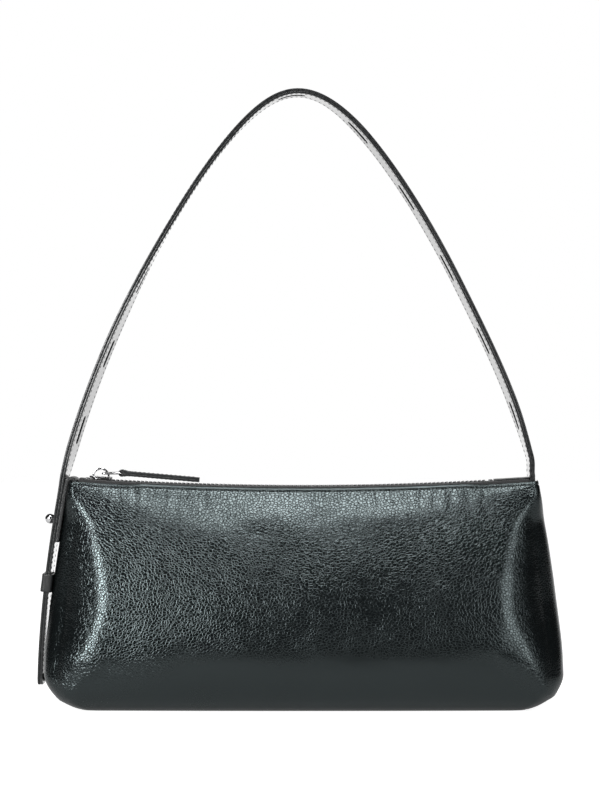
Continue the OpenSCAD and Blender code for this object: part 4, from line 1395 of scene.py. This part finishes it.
class BAG_OT_side_tab(bpy.types.Operator):
    """Side tab under the strap, turned over the top corner of the bag"""
    bl_idname = "bag.side_tab"
    bl_label = "Side tab"

    def execute(self, context):
        shape, sizes, line = bag_shape(), context.scene.bag_strap, strap_line()
        middle = sizes.layer_t + CLOSE + sizes.tab_t / 2
        path = []
        steps = 26
        for i in range(steps + 1):
            z = sizes.tab_end_z + (shape.body_h - 0.0008 - sizes.tab_end_z) * i / steps
            path.append(Vector((line.side_point(z).x + middle, 0, z)))
        hidden = shape.leather_t + LOOSE + sizes.tab_t / 2
        inner = hidden - shape.half_w(shape.body_h)
        top = shape.body_h + CLOSE + sizes.tab_t / 2
        left = path[-1].x
        reach = (inner - left) / 2
        for a in (150, 120, 90, 60, 30, 0):
            c, s = math.cos(math.radians(a)), math.sin(math.radians(a))
            path.append(Vector((left + reach + reach * c, 0, top - 0.001 + 0.001 * s)))
        for i in range(1, 7):
            z = shape.body_h - ROOT * i / 6
            path.append(Vector((hidden - shape.half_w(z), 0, z)))
        wide = sizes.width - 0.0004

        def place(u, v):
            point = path[round(u * (len(path) - 1))]
            return point + Vector((0, (0.5 - v) * wide, 0))

        bm = grid(len(path) - 1, 14, place, (0.05, wide))
        face_outwards(bm)
        thicken(piece(bm, "side_tab_leather", finish("trim leather"), "bag", "trim_leather",
                      ("side_tab",)), sizes.tab_t * 0.98, rounding=0.0003)
        places, lean = [], Vector((0.15, 0, 1)).normalized()
        for i in range(12):
            z = sizes.tab_end_z + 0.002 + 0.0028 * i
            if z > shape.body_h - 0.002:
                break
            x = line.side_point(z).x + sizes.layer_t + CLOSE + sizes.tab_t
            for y in (-wide / 2 + 0.002, wide / 2 - 0.002):
                places.append((Vector((x, y, z)), lean, ALONG))
        sew("tab_stitching", places, 0.0019, sizes.thread_d, "bag", "trim_leather")
        return {"FINISHED"}


class BAG_OT_stud(bpy.types.Operator):
    """Ball stud that holds the strap by one of its slots, and its screw"""
    bl_idname = "bag.stud"
    bl_label = "Ball stud"

    def execute(self, context):
        sizes, line = context.scene.bag_strap, strap_line()
        r, neck = sizes.ball_d / 2, sizes.neck_d / 2
        centre = sizes.layer_t + CLOSE + sizes.ball_d * 0.42
        foot = -sizes.layer_t - sizes.tab_t + 0.0009
        low = -math.acos(neck / r)
        profile = [(0.0, centre + r)]
        for i in range(1, 15):
            a = math.pi / 2 + (low - math.pi / 2) * i / 14
            profile.append((r * math.cos(a), centre + r * math.sin(a)))
        profile += [(neck, sizes.layer_t * 0.6), (neck, foot + 0.0002), (neck - 0.0002, foot),
                    (0.00105, foot), (0.00105, foot + 0.0025), (0.0, foot + 0.0025)]
        piece(turned(profile, 40), "ball_stud_metal", finish("polished metal"), "bag",
              "polished_metal", ("ball_stud",), moved=line.fitting(sizes.stud_z, sizes.neck_d))
        coat("stud_screw", "dark metal")
        return {"FINISHED"}


class BAG_OT_keeper(bpy.types.Operator):
    """Leather keeper that holds the tail against the end of the bag"""
    bl_idname = "bag.keeper"
    bl_label = "Keeper"

    def execute(self, context):
        sizes, line = context.scene.bag_strap, strap_line()
        turn = line.fitting(sizes.keeper_z, sizes.keeper_l)
        half_x, half_y = sizes.layer_t + LOOSE, sizes.width / 2 + LOOSE
        t = sizes.keeper_t
        path = rounded_frame(half_x + t / 2, half_y + t / 2, 0.0011, 5)
        around = []
        for a, b in zip(path, path[1:] + path[:1]):
            n = max(1, round(math.dist(a, b) / 0.0015))
            around += [(a[0] + (b[0] - a[0]) * i / n, a[1] + (b[1] - a[1]) * i / n)
                       for i in range(n)]
        around.append(around[0])

        def place(u, v):
            x, y = around[round(u * (len(around) - 1))]
            return Vector(((v - 0.5) * sizes.keeper_l, y, x))

        bm = grid(len(around) - 1, 8, place, (0.05, sizes.keeper_l))
        weld(bm)
        face_outwards(bm)
        thicken(piece(bm, "keeper_band", finish("trim leather"), "bag", "trim_leather",
                      ("keeper_loop",), moved=turn), t, rounding=0.0003)
        edge = sizes.keeper_l / 2 - 0.0014
        places = [(Vector((x, -0.008 + 0.0026 * i, half_x + t)), ACROSS, UP)
                  for i in range(7) for x in (-edge, edge)]
        sew("keeper_stitching", places, 0.0018, 0.0005, "bag", "trim_leather", moved=turn)
        return {"FINISHED"}


class BAG_OT_stage(bpy.types.Operator):
    """Pale floor, soft studio lamps, white surroundings and the camera"""
    bl_idname = "bag.stage"
    bl_label = "Stage and camera"

    def floor(self):
        """Pale paper under the bag, which looks white to the camera and darker in mirrors."""
        bm = bmesh.new()
        bmesh.ops.create_grid(bm, x_segments=2, y_segments=2, size=2.0)
        bmesh.ops.translate(bm, vec=(0, 1.45, 0), verts=bm.verts)
        mesh = bpy.data.meshes.new("floor")
        bm.to_mesh(mesh)
        bm.free()
        made = bpy.data.objects.new("floor", mesh)
        bpy.context.scene.collection.objects.link(made)
        n = surface("floor paper")
        n.set(Base_Color=(0.5, 0.5, 0.5, 1.0), Roughness=0.8)
        path = n.add("ShaderNodeLightPath").outputs
        mirrored = n.math("MAXIMUM", path["Is Glossy Ray"], path["Is Transmission Ray"])
        behind = n.ramp(n.parts(n.place)["Y"], 0.05, 0.40, 0.23, 1.0)
        seen = n.math("ADD", path["Is Camera Ray"], n.math("MULTIPLY", mirrored, behind))
        white = n.add("ShaderNodeEmission", {"Color": (1, 1, 1, 1), "Strength": 1.0}).outputs[0]
        share = n.math("MULTIPLY", seen, 0.92)
        glow = n.add("ShaderNodeMixShader", {0: share, 2: white})
        both = n.add("ShaderNodeAddShader", {0: n.shader.outputs[0], 1: glow.outputs[0]})
        n.tree.links.new(both.outputs[0], n.tree.nodes["Material Output"].inputs["Surface"])
        mesh.materials.append(n.owner)

    def world(self):
        """White to the camera and, behind the bag, in mirrors; a plain fill for the rest."""
        world = bpy.data.worlds.new("studio")
        bpy.context.scene.world = world
        n = Nodes(world, "Background")
        path = n.add("ShaderNodeLightPath").outputs
        mirrored = n.math("MAXIMUM", path["Is Glossy Ray"], path["Is Transmission Ray"])
        behind = n.ramp(n.parts(n.coords["Generated"])["Y"], 0.5, 0.96, 0.02, 1.0, "SMOOTHSTEP")
        shown = n.math("ADD", n.math("MULTIPLY", mirrored, behind), path["Is Camera Ray"])
        other = n.math("SUBTRACT", 1.0, n.math("MAXIMUM", mirrored, path["Is Camera Ray"]))
        strength = n.math("ADD", shown, n.math("MULTIPLY", other, 0.22))
        n.set(Strength=strength, Color=(1, 1, 1, 1))

    def lamp(self, name, place, target, wide, tall, power):
        """A softbox that faces a spot, with its power in watts."""
        data = bpy.data.lights.new(name, "AREA")
        data.shape = "RECTANGLE"
        data.size, data.size_y, data.energy = wide, tall, power
        made = bpy.data.objects.new(name, data)
        made.location = place
        aim = Vector(target) - Vector(place)
        made.rotation_euler = aim.to_track_quat("-Z", "Y").to_euler()
        bpy.context.scene.collection.objects.link(made)

    def execute(self, context):
        studio = context.scene.bag_studio
        self.floor()
        self.world()
        self.lamp("overhead_softbox", (0.0, -0.64, 1.29), (0, 0, 0.1), 0.36, 0.48, 7.8)
        self.lamp("left_softbox", (-0.76, -1.08, 0.56), (-0.1, 0, 0.07), 0.42, 0.60, 18.0)
        self.lamp("right_softbox", (0.84, -1.00, 0.50), (0.1, 0, 0.07), 0.46, 0.56, 4.6)
        data = bpy.data.cameras.new("camera")
        data.lens, data.sensor_fit, data.sensor_height = studio.lens, "VERTICAL", 36.0
        data.clip_start, data.clip_end = 0.05, 20.0
        made = bpy.data.objects.new("camera", data)
        made.location = (studio.side, -studio.distance, studio.height)
        made.rotation_euler = (math.pi / 2, 0, 0)
        context.scene.collection.objects.link(made)
        context.scene.camera = made
        context.scene.view_settings.view_transform = "Standard"
        return {"FINISHED"}


class BAG_PT_panel(bpy.types.Panel):
    """Sizes, finishes and building steps of the bag"""
    bl_idname = "BAG_PT_panel"
    bl_label = "Leather shoulder bag"
    bl_space_type = "VIEW_3D"
    bl_region_type = "UI"
    bl_category = "Bag"

    def draw(self, context):
        layout = self.layout
        for step in STEPS:
            layout.operator(step.bl_idname)
        for group, owner in GROUPS.items():
            box = layout.box()
            for key in owner.__annotations__:
                box.prop(getattr(context.scene, group), key)


STEPS = (BAG_OT_panels, BAG_OT_base, BAG_OT_lining, BAG_OT_zip_tapes, BAG_OT_zip_teeth,
         BAG_OT_zip_ends, BAG_OT_slider, BAG_OT_pull, BAG_OT_strap, BAG_OT_tail,
         BAG_OT_side_tab, BAG_OT_stud, BAG_OT_keeper, BAG_OT_stage)
GROUPS = {"bag_body": BagBodySizes, "bag_strap": BagStrapSizes, "bag_zip": BagZipSizes,
          "bag_finishes": BagFinishes, "bag_studio": BagStudio}
CLASSES = (*GROUPS.values(), *STEPS, BAG_PT_panel)


def register():
    for owner in CLASSES:
        bpy.utils.register_class(owner)
    for name, owner in GROUPS.items():
        setattr(bpy.types.Scene, name, PointerProperty(type=owner))


def unregister():
    for name in GROUPS:
        delattr(bpy.types.Scene, name)
    for owner in reversed(CLASSES):
        bpy.utils.unregister_class(owner)


def main():
    register()
    for step in STEPS:
        group, name = step.bl_idname.split(".")
        getattr(getattr(bpy.ops, group), name)()


if __name__ == "__main__":
    main()
